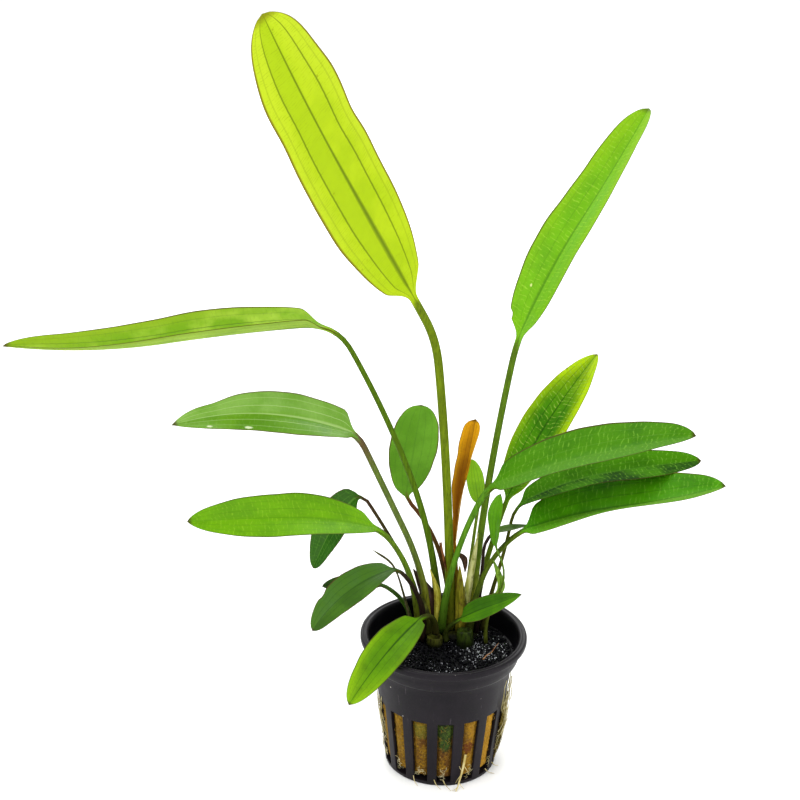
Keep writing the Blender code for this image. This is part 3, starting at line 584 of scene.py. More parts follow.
DARK_FOOT, PALE_FOOT = (54, 46, 16), (172, 172, 62)
LOOKS = {
    "leaf_tall": (dict(base=(188, 212, 26), deep=(176, 204, 18), vein=(104, 128, 6), stalk=(112, 132, 14), foot=(112, 116, 26), margin=(112, 84, 20), tip=(132, 134, 16),
                       cross=(136, 164, 6), cross_amount=0.6, vein_amount=0.72, mid_amount=0.95, through=0.40, spots=0.6, band=(174, 203, 18),
                       edge=(198, 218, 44), laterals_at=(0.50, 0.78), outer=0.25, cross_mm=0.85, slant=1.5),
                  dict(wave=0.45, waves=2.6, phase=0.6, wobble=0.006, reach=0.985, fold=0,
                       notches=((-1, 0.60, 0.07, 0.09), (-1, 0.74, 0.05, -0.03), (1, 0.68, 0.08, 0.07))), "bright_leaf"),
    "leaf_upright": (dict(base=(118, 182, 12), deep=(104, 168, 10), vein=(70, 128, 10), stalk=(86, 116, 18), foot=PALE_FOOT, right=(118, 182, 40),
                          cross=(160, 208, 56), cross_amount=0.75, margin=(84, 84, 18), tip=(84, 108, 14), vein_amount=0.15, mid_amount=0.75, edge=(136, 186, 10),
                          edge_left=1.0, marks=((0.186, -0.42, 0.007, 0.05, (226, 232, 150)),)),
                     dict(wave=0.22, waves=2.2, phase=1.9, sides=(1.0, 0.95), wobble=0.014, shapes=((0.50, 0.45), (0.66, 0.42)),
                          notches=((-1, 0.085, 0.007, 0.26),)), "green_leaf"),
    "leaf_long_left": (dict(base=(160, 194, 56), deep=(138, 176, 36), vein=(74, 104, 14), stalk=(82, 112, 16), foot=(66, 58, 18), cross_amount=0.2,
                            right=(112, 160, 4), margin=(78, 60, 20), edge=(134, 168, 8), shine=0.06, gloss=0.6, vein_amount=0.45, mid_amount=0.95, outer=0.4),
                       dict(wave=0.3, waves=1.6, phase=2.8, sides=(1.30, 1.0), shapes=((0.42, 0.66), (0.34, 0.62))), "green_leaf"),
    # leaf_mid_left: its lighter right colour is a painted highlight on the upper half of the glossy blade.
    "leaf_mid_left": (dict(base=(106, 156, 34), deep=(90, 142, 24), right=(130, 174, 70), vein=(172, 204, 120), stalk=(90, 110, 24), foot=(150, 146, 40), cross=(150, 192, 90),
                           cross_amount=0.25, vein_amount=0.55, outer=0.6, gloss=0.34, shine=0.38, neck=(96, 60, 30),
                           marks=((0.375, -0.84, 0.016, 0.09, (232, 240, 206)), (0.50, -0.80, 0.012, 0.09, (222, 232, 190)))),
                      dict(wave=0.4, waves=2.0, phase=0.2, curl=0.08, reach=0.998, shapes=((0.42, 0.80), (0.26, 0.70)),
                           notches=((1, 0.78, 0.07, 0.12),)), "green_leaf"),
    "leaf_low_left": (dict(base=(112, 170, 6), deep=(96, 154, 4), vein=(76, 130, 6), stalk=(92, 122, 24), foot=(96, 98, 22), right=(96, 152, 8),
                           cross=(160, 204, 50), cross_amount=0.45, vein_amount=0.22, mid_amount=0.35, margin=(78, 84, 20)),
                      dict(wave=0.25, waves=2.1, phase=2.2, shapes=((0.50, 0.65), (0.40, 0.62))), "green_leaf"),
    "leaf_behind_left": (dict(base=(44, 96, 12), deep=(30, 76, 8), vein=(88, 136, 48), stalk=(62, 56, 26), foot=DARK_FOOT, cross=(84, 134, 40),
                              cross_amount=0.6, right=(58, 98, 36), through=0.15, vein_amount=0.4, shine=0.05, gloss=0.6, neck=(70, 50, 34)),
                         dict(wave=0.3, waves=1.6, phase=0.9, shape=(0.42, 0.65)), "dark_leaf"),
    # leaf_droop_left: its greyer right colour is a painted sheen on the upper half.
    "leaf_droop_left": (dict(base=(70, 114, 24), deep=(56, 96, 18), vein=(44, 82, 14), stalk=(44, 34, 20), foot=(34, 20, 14), right=(70, 112, 42),
                             cross_amount=0.15, shine=0.16, vein_amount=0.4, margin=(84, 46, 22)),
                        dict(wave=0.35, waves=1.4, phase=1.1, shapes=((0.50, 0.55), (0.42, 0.60)), notches=((1, 0.70, 0.03, 0.12),)), "green_leaf"),
    "leaf_hidden_left": (dict(base=(46, 80, 20), deep=(34, 62, 14), vein=(72, 108, 34), stalk=(70, 112, 26), foot=(60, 92, 22), cross_amount=0.2,
                              through=0.15), dict(wave=0.25, waves=1.4, phase=0.4), "dark_leaf"),
    "leaf_front_droop": (dict(base=(96, 150, 3), deep=(76, 122, 2), vein=(36, 74, 2), stalk=(72, 86, 20), foot=(50, 46, 16), cross_amount=0.15,
                              vein_amount=0.2, mid_amount=1.0, margin=(66, 64, 10), edge=(138, 184, 10), edge_left=0.4),
                         dict(wave=0.35, waves=2.0, phase=0.5, shapes=((0.50, 0.62), (0.44, 0.60))), "bright_leaf"),
    "leaf_front_right": (dict(base=(70, 124, 10), deep=(56, 106, 8), vein=(32, 70, 6), stalk=(60, 92, 14), foot=(50, 56, 14), right=(92, 152, 16),
                              cross_amount=0.2, vein_amount=0.4), dict(wave=0.3, waves=1.6, phase=0.3), "green_leaf"),
    "leaf_back_oval": (dict(base=(106, 162, 38), deep=(92, 146, 28), vein=(80, 130, 28), stalk=(96, 66, 22), foot=(60, 42, 18), cross_amount=0.2,
                            vein_amount=0.25, mid_amount=0.4, margin=(90, 62, 24), neck=(104, 58, 26)), dict(wave=0.3, waves=1.5, phase=1.4, curl=0.10), "green_leaf"),
    "leaf_withered": (dict(base=(164, 112, 14), deep=(136, 86, 10), vein=(112, 66, 8), stalk=(134, 82, 14), foot=(116, 116, 24), margin=(60, 34, 8), shine=0.05,
                           right=(220, 158, 18), edge=(232, 178, 30), edge_left=0.5, cross_amount=0.15, tip=(66, 44, 16), through=0.25, vein_amount=0.4, foot_top=0.092),
                      dict(wave=0.35, waves=2.4, phase=0.7, curl=-0.25, sides=(0.92, 1.08), wobble=0.04, shape=(0.95, 0.24)), "withered_leaf"),
    "leaf_back_small": (dict(base=(136, 186, 24), deep=(118, 168, 18), vein=(92, 140, 14), stalk=(108, 132, 30), foot=(108, 108, 34), cross_amount=0.2),
                        dict(wave=0.3, waves=1.4, phase=0.2), "bright_leaf"),
    "leaf_big_right": (dict(base=(76, 138, 4), deep=(62, 122, 3), vein=(104, 158, 44), stalk=(84, 132, 28), foot=(66, 94, 18), right=(80, 138, 6),
                            cross=(128, 184, 56), cross_amount=0.70, vein_amount=0.15, mid_amount=0.3, gloss=0.60, shine=0.07, margin=(78, 60, 20), cross_mm=1.7),
                       dict(wave=0.3, waves=1.8, phase=2.4, sides=(0.96, 1.02)), "green_leaf"),
    # leaf_mid_right: its dark right colour is painted shade on the lower half of the blade.
    "leaf_mid_right": (dict(base=(70, 132, 6), deep=(56, 112, 4), vein=(96, 148, 50), stalk=(78, 84, 22), foot=(52, 48, 18), right=(30, 70, 6),
                            cross=(124, 182, 56), cross_amount=0.70, vein_amount=0.2, mid_amount=0.35, through=0.2, margin=(74, 58, 18), shine=0.04, gloss=0.75,
                            cross_mm=1.6),
                       dict(wave=0.25, waves=2.0, phase=0.8, sides=(1.0, 1.22)), "dark_leaf"),
    "leaf_low_right": (dict(base=(88, 164, 10), deep=(72, 144, 8), vein=(48, 104, 6), stalk=(78, 98, 20), foot=(50, 56, 16), right=(108, 162, 34),
                            cross=(140, 200, 66), cross_amount=0.70, vein_amount=0.2, mid_amount=0.7, margin=(104, 84, 30), shine=0.06, gloss=0.6, cross_mm=1.6),
                       dict(wave=0.3, waves=1.7, phase=1.2, sides=(1.36, 0.90), shapes=((0.62, 0.70), (0.36, 0.66))), "green_leaf"),
    # leaf_back_right: its yellow edge colour towards the tip is painted light, the glow of light coming through the
    # leaf from behind.
    "leaf_back_right": (dict(base=(82, 146, 10), deep=(62, 124, 8), vein=(36, 88, 4), stalk=(92, 122, 22), foot=(140, 142, 46), edge=(192, 222, 12),
                             cross=(160, 196, 76), cross_amount=0.9, vein_amount=0.5, margin=(150, 160, 20), spots=0.8, through=0.35, edge_left=0.45, cross_mm=1.7, slant=12.0,
                             shine=0.06, tip=(120, 110, 30)),
                        dict(wave=0.25, waves=1.8, phase=2.0), "bright_leaf"),
    "leaf_young_right": (dict(base=(96, 160, 18), deep=(80, 142, 14), vein=(64, 118, 12), stalk=(92, 126, 30), foot=(92, 98, 30), cross_amount=0.15),
                         dict(wave=0.3, waves=1.6, phase=0.9), "bright_leaf"),
    "leaf_dark_stalk": (dict(base=(96, 132, 50), deep=(76, 112, 40), vein=(56, 84, 16), stalk=(38, 24, 20), foot=(28, 18, 14), cross_amount=0.1),
                        dict(wave=0.1, waves=1.0, phase=0.1), "dark_leaf"),
}
for leaf_name, (paint, form, leaf_slot) in LOOKS.items():
    own = leaf_material(leaf_name + "_tissue", blade_mm=LEAVES[leaf_name]["blade"][0], **paint)
    leaf(leaf_name, LEAVES[leaf_name], own, leaf_slot, **form)


# ---------------------------------------------------------------- pot
BODY_SLOPE = (23.35 - BASE_RADIUS) / COLLAR_FOOT


def wall_radius(z):
    return BASE_RADIUS + BODY_SLOPE * z


def pot():
    step = 360.0 / SLOTS
    angles, in_slot = [], []
    offsets = (-7.25, -4.8, -2.4, 0.0, 2.4, 4.8, 7.25, 8.6, 10.4, 12.0, 13.6, 15.4)
    for k in range(SLOTS):
        centre = SLOT_FIRST_DEG + k * step
        for o in offsets:
            angles.append(centre + o)
            in_slot.append(-SLOT_HALF_DEG - 0.01 <= o < SLOT_HALF_DEG - 0.01)
    angles = np.radians(angles)
    n = len(angles)
    top = POT_HEIGHT
    outer = [(BASE_RADIUS - 0.35, 0.0), (wall_radius(0.35), 0.35), (wall_radius(FLOOR), FLOOR)]
    sill = len(outer) - 1
    outer += [(wall_radius(z), z) for z in (6.0, 11.0, 16.0, 21.0, SLOT_TOP)]
    head = len(outer) - 1
    outer += [(wall_radius(z), z) for z in (29.0, 33.0, 37.0, 39.2)]
    outer += [(23.6, 39.9), (24.5, 40.25), (25.1, 40.55), (25.4, 41.2), (25.75, 43.4), (26.0, 45.4), (26.4, 45.95), (27.5, 46.15),
              (27.9, 46.4), (RIM_RADIUS, 46.9), (RIM_RADIUS, 47.9), (27.86, 48.3), (27.5, top), (27.1, top), (26.86, top - 0.18), (26.59, top - 0.18),
              (26.35, top), (26.0, top), (25.78, top - 0.12)]
    inner = [(wall_radius(FLOOR) - WALL, FLOOR)]
    inner += [(wall_radius(z) - WALL, z) for z in (6.0, 11.0, 16.0, 21.0, SLOT_TOP)]
    inner += [(wall_radius(z) - WALL, z) for z in (31.0, 36.0, 40.8)]
    inner += [(24.0, 41.4), (24.3, 42.4), (24.9, 45.2), (25.1, 47.4), (25.5, 48.1)]
    bm = bmesh.new()

    def ring(r, z):
        return [bm.verts.new((r * math.cos(t) * MM, r * math.sin(t) * MM, z * MM)) for t in angles]

    out, ins = [ring(*p) for p in outer], [ring(*p) for p in inner]
    last_inner_slot = 5
    for i in range(n):
        j = (i + 1) % n
        for k in range(len(out) - 1):
            if not (sill <= k < head and in_slot[i]):
                bm.faces.new((out[k][i], out[k][j], out[k + 1][j], out[k + 1][i]))
        for k in range(len(ins) - 1):
            if not (k < last_inner_slot and in_slot[i]):
                bm.faces.new((ins[k][j], ins[k][i], ins[k + 1][i], ins[k + 1][j]))
        bm.faces.new((out[-1][i], out[-1][j], ins[-1][j], ins[-1][i]))
        if in_slot[i]:
            bm.faces.new((out[sill][i], out[sill][j], ins[0][j], ins[0][i]))
            bm.faces.new((out[head][j], out[head][i], ins[last_inner_slot][i], ins[last_inner_slot][j]))
            for k in range(last_inner_slot):
                if not in_slot[i - 1]:
                    bm.faces.new((out[sill + k][i], ins[k][i], ins[k + 1][i], out[sill + k + 1][i]))
                if not in_slot[j]:
                    bm.faces.new((ins[k][j], out[sill + k][j], out[sill + k + 1][j], ins[k + 1][j]))
    for loop, z in ((out[0], 0.0), (ins[0], FLOOR)):
        middle = bm.verts.new((0, 0, z * MM))
        for i in range(n):
            bm.faces.new((loop[i], loop[(i + 1) % n], middle))
    bmesh.ops.recalc_face_normals(bm, faces=bm.faces)
    mesh = bpy.data.meshes.new("net_pot_fine")
    bm.to_mesh(mesh)
    bm.free()
    mesh.materials.append(plastic_material())
    obj = bpy.data.objects.new("net_pot_fine", mesh)
    bpy.context.scene.collection.objects.link(obj)
    edge = obj.modifiers.new("edges", "BEVEL")
    edge.width, edge.segments, edge.limit_method, edge.angle_limit = 0.00014, 2, "ANGLE", math.radians(42)
    mesh.shade_smooth()
    mesh.set_sharp_from_angle(angle=math.radians(50))
    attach(obj, "root")
    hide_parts("net_pot")


pot()


# ---------------------------------------------------------------- mineral wool
def slot_share(deg):
    """1 at the middle of a slot, 0 on the ribs between."""
    d = (deg - SLOT_FIRST_DEG + 180.0 / SLOTS) % (360.0 / SLOTS) - 180.0 / SLOTS
    return max(0.0, 1 - (abs(d) / 6.6) ** 4)


def wool():
    columns, rows = 420, 96
    verts = []
    for r_i in range(rows):
        z = 2.1 + (WOOL_TOP - 2.3) * r_i / (rows - 1)
        for c in range(columns):
            deg = 360.0 * c / columns
            a = math.radians(deg)
            base = wall_radius(min(z, SLOT_TOP)) - WALL - 0.40
            foot = min(1.0, max(0.0, (z - 2.1) / 1.9))
            base -= 1.8 * (1 - foot) ** 2
            puff = 0.85 * slot_share(deg) * foot if z < SLOT_TOP - 0.3 else 0.0
            puff *= min(1.0, max(0.0, (SLOT_TOP - 0.3 - z) / 1.0))
            q = Vector((math.cos(a) * base, math.sin(a) * base, z))
            rough = 0.34 * noise.noise(q * 1.1) + 0.22 * noise.noise(q * 2.6) + 0.13 * noise.noise(q * 5.7)
            r = base + puff + rough * (0.6 + 0.4 * min(1.0, puff + 0.4))
            r = min(r, wall_radius(z) - (0.10 if puff > 0.3 else WALL + 0.08))
            verts.append((r * math.cos(a), r * math.sin(a), z + 0.35 * noise.noise(q * 0.9) * (1 if r_i == 0 else 0)))
    faces = ring_faces(rows, columns)
    piece("wool_plug_fine", verts, faces, wool_material(), ("wool_plug",))
    strands = []
    for _ in range(420):
        k = rng.integers(0, SLOTS)
        deg = SLOT_FIRST_DEG + 24.0 * k + rng.uniform(-6.0, 6.0)
        z = rng.uniform(4.5, 25.0)
        a = math.radians(deg)
        r = wall_radius(z) - 0.75
        p = np.array([r * math.cos(a), r * math.sin(a), z])
        along = np.array([-math.sin(a), math.cos(a), 0]) * rng.normal(0, 0.8) + np.array([0, 0, 1]) * rng.normal(0, 1.0)
        along /= np.linalg.norm(along)
        outw = np.array([math.cos(a), math.sin(a), 0.0])
        long = rng.uniform(0.7, 1.9)
        pts = [p + along * long * (f - 0.5) + outw * (0.55 * math.sin(math.pi * f) * rng.uniform(0.4, 1.0)) for f in (0, 0.33, 0.66, 1)]
        strands.append((pts, 0.035))
    v, f = tubes(strands, 3)
    piece("wool_fibres", v, f, root_material("wool_fibre", (140, 106, 30), (184, 148, 62), (92, 60, 18)), ())


wool()


# ---------------------------------------------------------------- grit
def grit():
    rings_n, columns = 46, 130
    verts = [(0.0, 0.0, GRIT_TOP - 0.2)]
    for i in range(1, rings_n + 1):
        r = 24.1 * i / (rings_n - 1) if i < rings_n else 21.9
        for c in range(columns):
            a = 2 * math.pi * c / columns
            q = Vector((r * math.cos(a), r * math.sin(a), 0))
            z = GRIT_TOP - 0.55 + 0.55 * noise.noise(q * 0.22) + 0.45 * noise.noise(q * 1.1) + 0.25 * noise.noise(q * 2.3)
            z = min(z, GRIT_TOP + 0.35)
            if r > 22.0:
                z = max(z, 41.0)
            verts.append((q.x, q.y, z if i < rings_n else 40.9))
    base = len(verts)
    for c in range(columns):
        a = 2 * math.pi * c / columns
        verts.append((21.5 * math.cos(a), 21.5 * math.sin(a), WOOL_TOP + 0.4))
    verts.append((0, 0, WOOL_TOP + 0.4))
    faces = [(0, 1 + c, 1 + (c + 1) % columns) for c in range(columns)]
    for i in range(rings_n):
        lo, hi = 1 + i * columns, 1 + (i + 1) * columns
        for c in range(columns):
            j = (c + 1) % columns
            faces.append((lo + c, hi + c, hi + j, lo + j))
    for c in range(columns):
        faces.append((base + c, base + columns, base + (c + 1) % columns))
    black = grit_material("black_grit_wet", (3, 3, 5), (14, 14, 19), 0.34, 0.10)
    piece("grit_bed", verts, faces, black, ("grit",))
    ico = bmesh.new()
    bmesh.ops.create_icosphere(ico, subdivisions=1, radius=1.0)
    shape = np.array([v.co[:] for v in ico.verts])
    tri = [tuple(v.index for v in f.verts) for f in ico.faces]
    ico.free()

    def grains(count, low, high, seed, keep=None):
        g = np.random.default_rng(seed)
        vs, fs = [], []
        made = 0
        while made < count:
            r = 23.8 * math.sqrt(g.random())
            a = g.uniform(0, 2 * math.pi)
            x, y = r * math.cos(a), r * math.sin(a)
            if keep is not None and g.random() > keep(x, y):
                continue
            size = g.uniform(low, high)
            stretch = g.uniform(0.6, 1.15, 3)
            turn = np.array(Matrix.Rotation(g.uniform(0, 6.28), 3, Vector(g.normal(size=3)).normalized()))
            q = (shape * (1 + g.uniform(-0.22, 0.22, (len(shape), 1)))) * stretch * size @ turn.T
            lift = GRIT_TOP - 0.25 + 0.5 * noise.noise(Vector((x, y, 0)) * 0.22) + g.uniform(-0.2, 0.45)
            vs.append(q + np.array([x, y, lift]))
            fs += [tuple(i + made * len(shape) for i in f) for f in tri]
            made += 1
        return np.vstack(vs), fs

    v, f = grains(5200, 0.25, 0.62, 5)
    piece("grit_grains", v, f, black, (), smooth=False)

    def bright_places(x, y):
        """Pale grains, painted highlights for the wet grit's glints, gather right of the crown and along the front."""
        right = math.exp(-(((x - 13) / 7) ** 2 + ((y - 1) / 8) ** 2))
        front = 0.8 * math.exp(-(((x + 1) / 10) ** 2 + ((y + 14) / 5) ** 2))
        left = 0.5 * math.exp(-(((x + 14) / 4) ** 2 + ((y - 8) / 6) ** 2))
        return min(1.0, 0.03 + right + 0.8 * front + left)

    # Painted highlights: pale grains stand in for glints on the wet black grit.
    v, f = grains(980, 0.12, 0.32, 9, bright_places)
    piece("grit_glints", v, f, grit_material("grit_glint_painted", (60, 63, 70), (226, 229, 234), 0.20, 0.5), (), smooth=False)
    fibre = smooth_path([(13.3, -6.2, 42.0), (14.6, -4.6, 42.7), (16.2, -2.4, 42.5), (17.6, 0.6, 42.9), (19.0, 4.2, 42.4)], 24)
    v, f = tubes([(fibre, np.interp(np.linspace(0, 1, 24), [0, 0.3, 1], [0.26, 0.17, 0.06]))], 7)
    piece("grit_fibre", v, f, tissue_material("rusty_fibre", (146, 92, 60), (206, 158, 116), (92, 52, 32)), ())


grit()


# ---------------------------------------------------------------- crown, old bases and dry remains
def strap(name, points, widths, mat, nodes=(), facing=-90.0, cup=0.5, thick=0.16, ragged=0.0, seed=1, turn=0.0):
    """A thin dry strap or sheath: a closed sheet along a path, cupped across, with a ragged far end."""
    g = np.random.default_rng(seed)
    count, cols = 34, 11
    path = smooth_path(points, count)
    t = np.gradient(path, axis=0)
    t /= np.linalg.norm(t, axis=1)[:, None]
    verts = []
    jag = g.uniform(-1, 1, cols)
    for i in range(count):
        u = i / (count - 1)
        a = math.radians(facing + turn * u)
        face = np.array([math.cos(a), math.sin(a), 0.0])
        side = np.cross(t[i], face)
        side /= np.linalg.norm(side)
        face = np.cross(side, t[i])
        w = 0.5 * float(np.interp(u, np.linspace(0, 1, len(widths)), widths))
        rows = []
        for c in range(cols):
            s = 2 * c / (cols - 1) - 1
            p = path[i] + side * s * w - face * cup * w * s * s + t[i] * ragged * jag[c] * max(0.0, u - 0.8) * 5 * w
            p = p + face * 0.10 * math.sin(9 * u + 4 * s + seed)
            rows.append(p)
        verts += [p + face * thick * 0.5 for p in rows] + [p - face * thick * 0.5 for p in rows[::-1]]
    return piece(name, verts, ring_faces(count, 2 * cols), mat, nodes)


def stub(name, points, widths, flat, mat, nodes):
    """A stout cut leaf base with ribs along it and a sunken cut end."""
    count, sides = 26, 40
    path = smooth_path(points, count)
    verts = []
    for i in range(count):
        u = i / (count - 1)
        half = 0.5 * float(np.interp(u, np.linspace(0, 1, len(widths)), widths))
        for k in range(sides):
            g = 2 * math.pi * k / sides
            rib = 1 + 0.035 * math.sin(9 * g + 1.3) + 0.03 * noise.noise(Vector((math.cos(g) * 2, math.sin(g) * 2, u * 3)))
            verts.append(path[i] + np.array([math.cos(g) * half * rib, math.sin(g) * half * flat * rib, 0.10 * math.sin(3 * g) * u]))
    top = path[-1]
    for shrink, drop in ((0.82, -0.05), (0.62, 0.35), (0.30, 0.55)):
        half = 0.5 * widths[-1] * shrink
        for k in range(sides):
            g = 2 * math.pi * k / sides
            verts.append(top + np.array([math.cos(g) * half, math.sin(g) * half * flat, -drop]))
    return piece(name, verts, ring_faces(count + 3, sides), mat, nodes)


# foot is the height up to which a tissue is painted near black, painted shade among the crowded bases.
green_base = tissue_material("old_base_green", (26, 36, 8), (56, 74, 18), (18, 18, 8), 0.42, foot=0.0472)
olive_base = tissue_material("old_base_olive", (46, 50, 12), (92, 96, 30), (30, 22, 8), 0.45, foot=0.0448)
dark_wet = tissue_material("old_stalk_dark", (38, 22, 16), (64, 42, 30), (20, 12, 8), 0.36, spec=0.3)
cream = tissue_material("sheath_cream", (176, 180, 84), (222, 222, 156), (132, 142, 52), 0.5, through=0.2)
olive_gold = tissue_material("sheath_olive_gold", (96, 96, 16), (150, 142, 40), (84, 58, 20), 0.45, through=0.1, foot=0.0470)
young_green = tissue_material("young_fold_green", (84, 132, 24), (142, 178, 62), (70, 104, 24), 0.5, through=0.2)
papery = tissue_material("papery_brown", (96, 54, 24), (156, 100, 54), (54, 26, 12), 0.6, through=0.25)
dark_dry = tissue_material("dark_dry", (40, 24, 16), (74, 50, 30), (18, 10, 8), 0.5)
straw = tissue_material("straw_sheath", (158, 152, 36), (204, 198, 84), (120, 96, 30), 0.5, through=0.2)

stub("leaf_base_left_fine", [(-2.8, 4.5, 39.8), (-2.9, 4.5, 42.0), (-2.9, 4.7, 44.1)], (5.0, 5.6, 5.0), 0.92, olive_base, ("leaf_base_left",))
stub("leaf_base_right_fine", [(7.6, 4.5, 39.8), (7.4, 4.5, 43.4), (7.1, 4.6, 46.9)], (5.6, 5.9, 4.9), 0.85, green_base, ("leaf_base_right",))


def crown():
    sides, rows = 96, 22
    verts = []
    for i in range(rows):
        u = i / (rows - 1)
        grow = math.sqrt(max(0.0, 1 - (u * 0.93) ** 2.6))
        z = 38.0 + 4.5 * u
        for k in range(sides):
            g = 2 * math.pi * k / sides
            lump = 1 + 0.07 * noise.noise(Vector((math.cos(g) * 3.1, math.sin(g) * 3.1, u * 2))) + 0.03 * math.sin(13 * g)
            verts.append((CROWN_CENTRE[0] + 12.9 * grow * lump * math.cos(g), CROWN_CENTRE[1] + 5.1 * grow * lump * math.sin(g), z))
    piece("crown_fine", verts, ring_faces(rows, sides), olive_base, ("crown",))


crown()

strap("sheath_dark_left", [(-10.6, 11.0, 66.4), (-7.9, 11.0, 61.2), (-5.2, 11.0, 55.2), (-4.4, 10.6, 48.5), (-4.2, 10.2, 42)], (0.3, 3.2, 5.8, 6.2, 5.0),
      dark_wet, cup=0.45, seed=3)
strap("sheath_olive_left", [(-7.8, 9.6, 57.5), (-6.4, 8.6, 52.5), (-5.2, 8.0, 47.5), (-4.9, 7.8, 42)], (0.4, 2.2, 3.2, 3.2), olive_base, cup=0.6, seed=4)
strap("sheath_straw_left", [(-4.9, 10.2, 66.8), (-3.4, 9.9, 62.2), (-2.2, 9.6, 57.4), (-1.9, 9.4, 49), (-1.9, 9.4, 42)], (0.3, 1.4, 2.4, 2.6, 2.4),
      straw, cup=0.6, seed=5)
strap("sheath_cream_right", [(10.9, 11.8, 80.0), (9.6, 11.5, 69.0), (8.2, 11.2, 59.0), (7.3, 11.0, 51.0), (7.0, 10.8, 42.0)], (0.3, 2.0, 2.8, 2.8, 2.6),
      cream, cup=0.6, seed=6)
strap("sheath_olive_mid", [(5.0, 9.7, 68.5), (5.3, 9.5, 62.0), (5.7, 9.3, 55.0), (6.2, 9.1, 48.5), (6.3, 9.0, 42.0)], (0.4, 2.4, 3.6, 4.2, 3.8),
      olive_gold, cup=0.7, seed=11)
strap("sheath_papery_edge", [(0.8, 11.4, 65.4), (-0.1, 11.1, 69.6), (-0.9, 10.9, 73.6), (-1.3, 11.0, 76.6)], (0.4, 0.9, 0.8, 1.1), papery,
      cup=0.9, ragged=0.7, seed=7, turn=50)
strap("curled_tip", [(3.4, 11.4, 70.6), (4.8, 10.6, 71.9), (6.1, 10.1, 70.8), (6.6, 9.9, 68.6), (6.8, 9.9, 66.2)], (1.0, 1.7, 2.4, 1.6, 0.3), dark_dry,
      cup=0.8, ragged=0.5, seed=9, turn=-30)
strap("young_fold", [(16.0, 6.2, 72.8), (18.0, 6.1, 67.6), (19.2, 6.0, 63.2), (18.2, 5.9, 60.2), (15.2, 6.0, 59.4)], (0.5, 2.0, 2.7, 2.2, 0.5), young_green,
      cup=0.5, seed=13, turn=20)

dry = smooth_path([(-10.0, 7.4, 43), (-13.6, 8.0, 58), (-17.5, 8.4, 69), (-24.4, 9.0, 74.5)], 44)
v, f = tubes([(dry, np.interp(np.linspace(0, 1, 44), [0, 0.55, 0.75, 0.9, 1], [0.60, 0.32, 0.42, 0.38, 0.08]))], 9)
piece("dry_shoot_fine", v, f, tissue_material("dry_shoot_skin", (62, 60, 34), (98, 96, 54), (34, 28, 20)), ("dry_shoot",))
strand = smooth_path([(-8.6, 18.0, 43), (-12.0, 20.0, 60), (-17.6, 22.0, 71), (-24, 23.5, 76), (-31.5, 25.0, 76.5)], 50)
v, f = tubes([(strand, np.interp(np.linspace(0, 1, 50), [0, 0.7, 1], [0.55, 0.42, 0.16]))], 9)
piece("brown_strand_fine", v, f, dark_dry, ("brown_strand",))


# ---------------------------------------------------------------- roots
def wall_roots(count, first, last, low, high, reach, seed, sides=4, radius=(0.07, 0.16), loops=0.5, steps=46):
    """Roots that wander down the outside of the pot between two azimuths, with some loops standing off it."""
    g = np.random.default_rng(seed)
    strands = []
    for _ in range(count):
        deg, z = g.uniform(first, last), g.uniform(low + 0.55 * (high - low), high)
        drift, fall = g.normal(0, 0.5), g.uniform(0.5, 1.1)
        off = g.uniform(0.25, 0.9) * reach
        pts = []
        wob = g.uniform(0, 6.28, 4)
        bottom = g.uniform(low, low + 0.45 * (high - low))
        for i in range(steps):
            s = i / (steps - 1)
            zz = z + (bottom - z) * s**fall + 0.9 * loops * math.sin(9 * s + wob[0])
            d = deg + drift * 14 * s + 5.5 * loops * math.sin(7 * s + wob[1]) + 2.0 * math.sin(17 * s + wob[2])
            d += 0.9 * math.sin(31 * s + wob[0]) + 0.6 * math.sin(47 * s + wob[3])
            zz += 0.35 * math.sin(37 * s + wob[2])
            d = min(max(d, first - 3), last + 3)
            stand = 0.22 + off * (0.35 + 0.65 * abs(math.sin(3.2 * s + wob[3]))) * math.sin(math.pi * min(1, s + 0.05)) ** 0.5
            r = wall_radius(max(zz, 0)) + stand
            a = math.radians(d)
            pts.append((r * math.cos(a), r * math.sin(a), max(0.25, zz)))
        thick = g.uniform(*radius)
        strands.append((pts, np.linspace(thick, thick * 0.45, steps)))
    return tubes(strands, sides)


v, f = wall_roots(170, -19, 13, 3.4, 27, 1.4, 21, radius=(0.05, 0.12), loops=1.0)
piece("root_mat_right_fine", v, f, root_material("root_yellow", (70, 60, 18), (140, 122, 48), (44, 32, 12)), ("root_mat_right",))
v, f = wall_roots(22, -24, 10, 2.4, 36, 2.6, 22, radius=(0.06, 0.14), loops=1.4)
piece("root_strands_right", v, f, root_material("root_white", (184, 172, 112), (226, 216, 172), (140, 118, 62)), ())
v, f = wall_roots(12, 182, 203, 6.5, 31, 0.4, 23, radius=(0.06, 0.13), loops=0.45)
piece("root_mat_left_fine", v, f, root_material("root_pale", (150, 136, 82), (206, 196, 146), (84, 66, 32)), ("root_mat_left",))
foot_v, foot_f = [], []
for k in range(SLOTS):
    centre = SLOT_FIRST_DEG + k * 360.0 / SLOTS
    v, f = wall_roots(2, centre - 3, centre + 3, 1.4, 9.0, 0.25, 40 + k, radius=(0.04, 0.08), loops=0.12, steps=24)
    foot_f += [tuple(i + sum(len(q) for q in foot_v) for i in face) for face in f]
    foot_v.append(v)
piece("roots_at_foot", np.vstack(foot_v), foot_f, bpy.data.materials["root_white"], ())

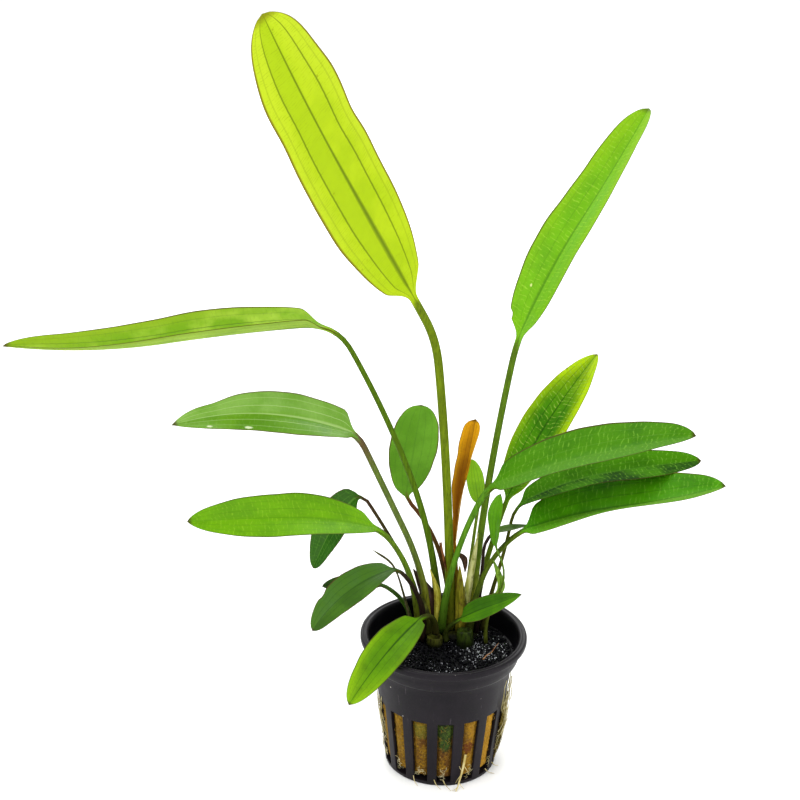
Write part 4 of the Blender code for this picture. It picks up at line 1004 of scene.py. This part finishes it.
front = smooth_path([(8.0, -18.6, 12.5), (7.2, -19.0, 7.0), (6.2, -19.6, 2.6), (5.6, -20.6, 0.75), (5.0, -22.4, 0.5)], 34)
side_roots = [(front, np.linspace(0.42, 0.16, 34))]
for k, (i, dx, dy, dz) in enumerate(((6, 1.9, -0.5, -3.2), (12, -1.8, -0.6, -2.8), (18, 1.6, -1.2, -1.6), (24, -1.9, -1.7, -0.2), (9, -1.1, -0.5, 2.0))):
    p = front[i]
    q = smooth_path([p, p + np.array([dx * 0.5, dy * 0.7 - 0.15, dz * 0.35]), p + np.array([dx, dy, dz])], 12)
    q[:, 2] = np.maximum(q[:, 2], 0.2)
    side_roots.append((q, np.linspace(0.17, 0.05, 12)))
for k, (bearing, out_r) in enumerate(((-119, 1.6), (-97, 2.0), (-88, 3.0), (-38, 2.4), (-24, 1.8))):
    a = math.radians(bearing)
    r0 = 19.1
    p0 = np.array([r0 * math.cos(a), r0 * math.sin(a), 2.6])
    p1 = np.array([(r0 + 0.8) * math.cos(a + 0.05), (r0 + 0.8) * math.sin(a + 0.05), 1.0])
    p2 = np.array([(r0 + out_r) * math.cos(a + 0.12), (r0 + out_r) * math.sin(a + 0.12), 0.25])
    side_roots.append((smooth_path([p0, p1, p2], 12), np.linspace(0.15, 0.06, 12)))
v, f = tubes(side_roots, 6)
piece("front_root_fine", v, f, root_material("root_straw", (188, 170, 104), (226, 212, 156), (140, 116, 60)), ("front_root",))

# ---------------------------------------------------------------- floor, light and camera
floor_mesh = bpy.data.meshes.new("floor")
floor_mesh.from_pydata([(-4, -4, 0), (4, -4, 0), (4, 6, 0), (-4, 6, 0)], [], [(0, 1, 2, 3)])
ft = Tree("pale_floor")
grain = ft.noise(ft.place(), 40.0, 2.0, 0.5)
floor_mesh.materials.append(ft.surface(ft.mix(ft.ramp(grain, 0.3, 0.7), lin(253, 253, 253), lin(255, 255, 255)), 0.8, specular=0.1))
floor = bpy.data.objects.new("floor", floor_mesh)
bpy.context.scene.collection.objects.link(floor)

scene = bpy.context.scene
scene.view_settings.view_transform = "Standard"
scene.view_settings.look = "None"
world = bpy.data.worlds.new("studio")
scene.world = world
world.use_nodes = True
world.node_tree.nodes["Background"].inputs[0].default_value = (1.0, 1.0, 1.0, 1.0)
world.node_tree.nodes["Background"].inputs[1].default_value = 1.03


def lamp(name, place, target, size, watts):
    data = bpy.data.lights.new(name, "AREA")
    data.shape, data.size, data.energy = "SQUARE", size, watts
    obj = bpy.data.objects.new(name, data)
    scene.collection.objects.link(obj)
    obj.location = place
    obj.rotation_euler = (Vector(target) - Vector(place)).to_track_quat("-Z", "Y").to_euler()


lamp("key_left", (-0.55, -0.55, 0.85), (0, 0, 0.12), 0.55, 5.5)
lamp("fill_right", (0.75, -0.45, 0.55), (0, 0, 0.10), 0.60, 2.6)
lamp("back_above", (-0.10, 0.85, 0.75), (0, 0, 0.15), 0.70, 7.0)

camera_data = bpy.data.cameras.new("camera")
camera_data.sensor_width, camera_data.lens = 36.0, 83.0
camera_data.clip_start, camera_data.clip_end = 0.01, 50.0
camera = bpy.data.objects.new("camera", camera_data)
scene.collection.objects.link(camera)
forward = Vector((0.0, 0.92186, -0.38752)).normalized()
right = Vector((0.99982, 0.00744, 0.01770))
right = (right - forward * right.dot(forward)).normalized()
up = right.cross(forward)
camera.matrix_world = Matrix.Translation((-0.016185, -0.541411, 0.360469)) @ Matrix((right, up, -forward)).transposed().to_4x4()
scene.camera = camera
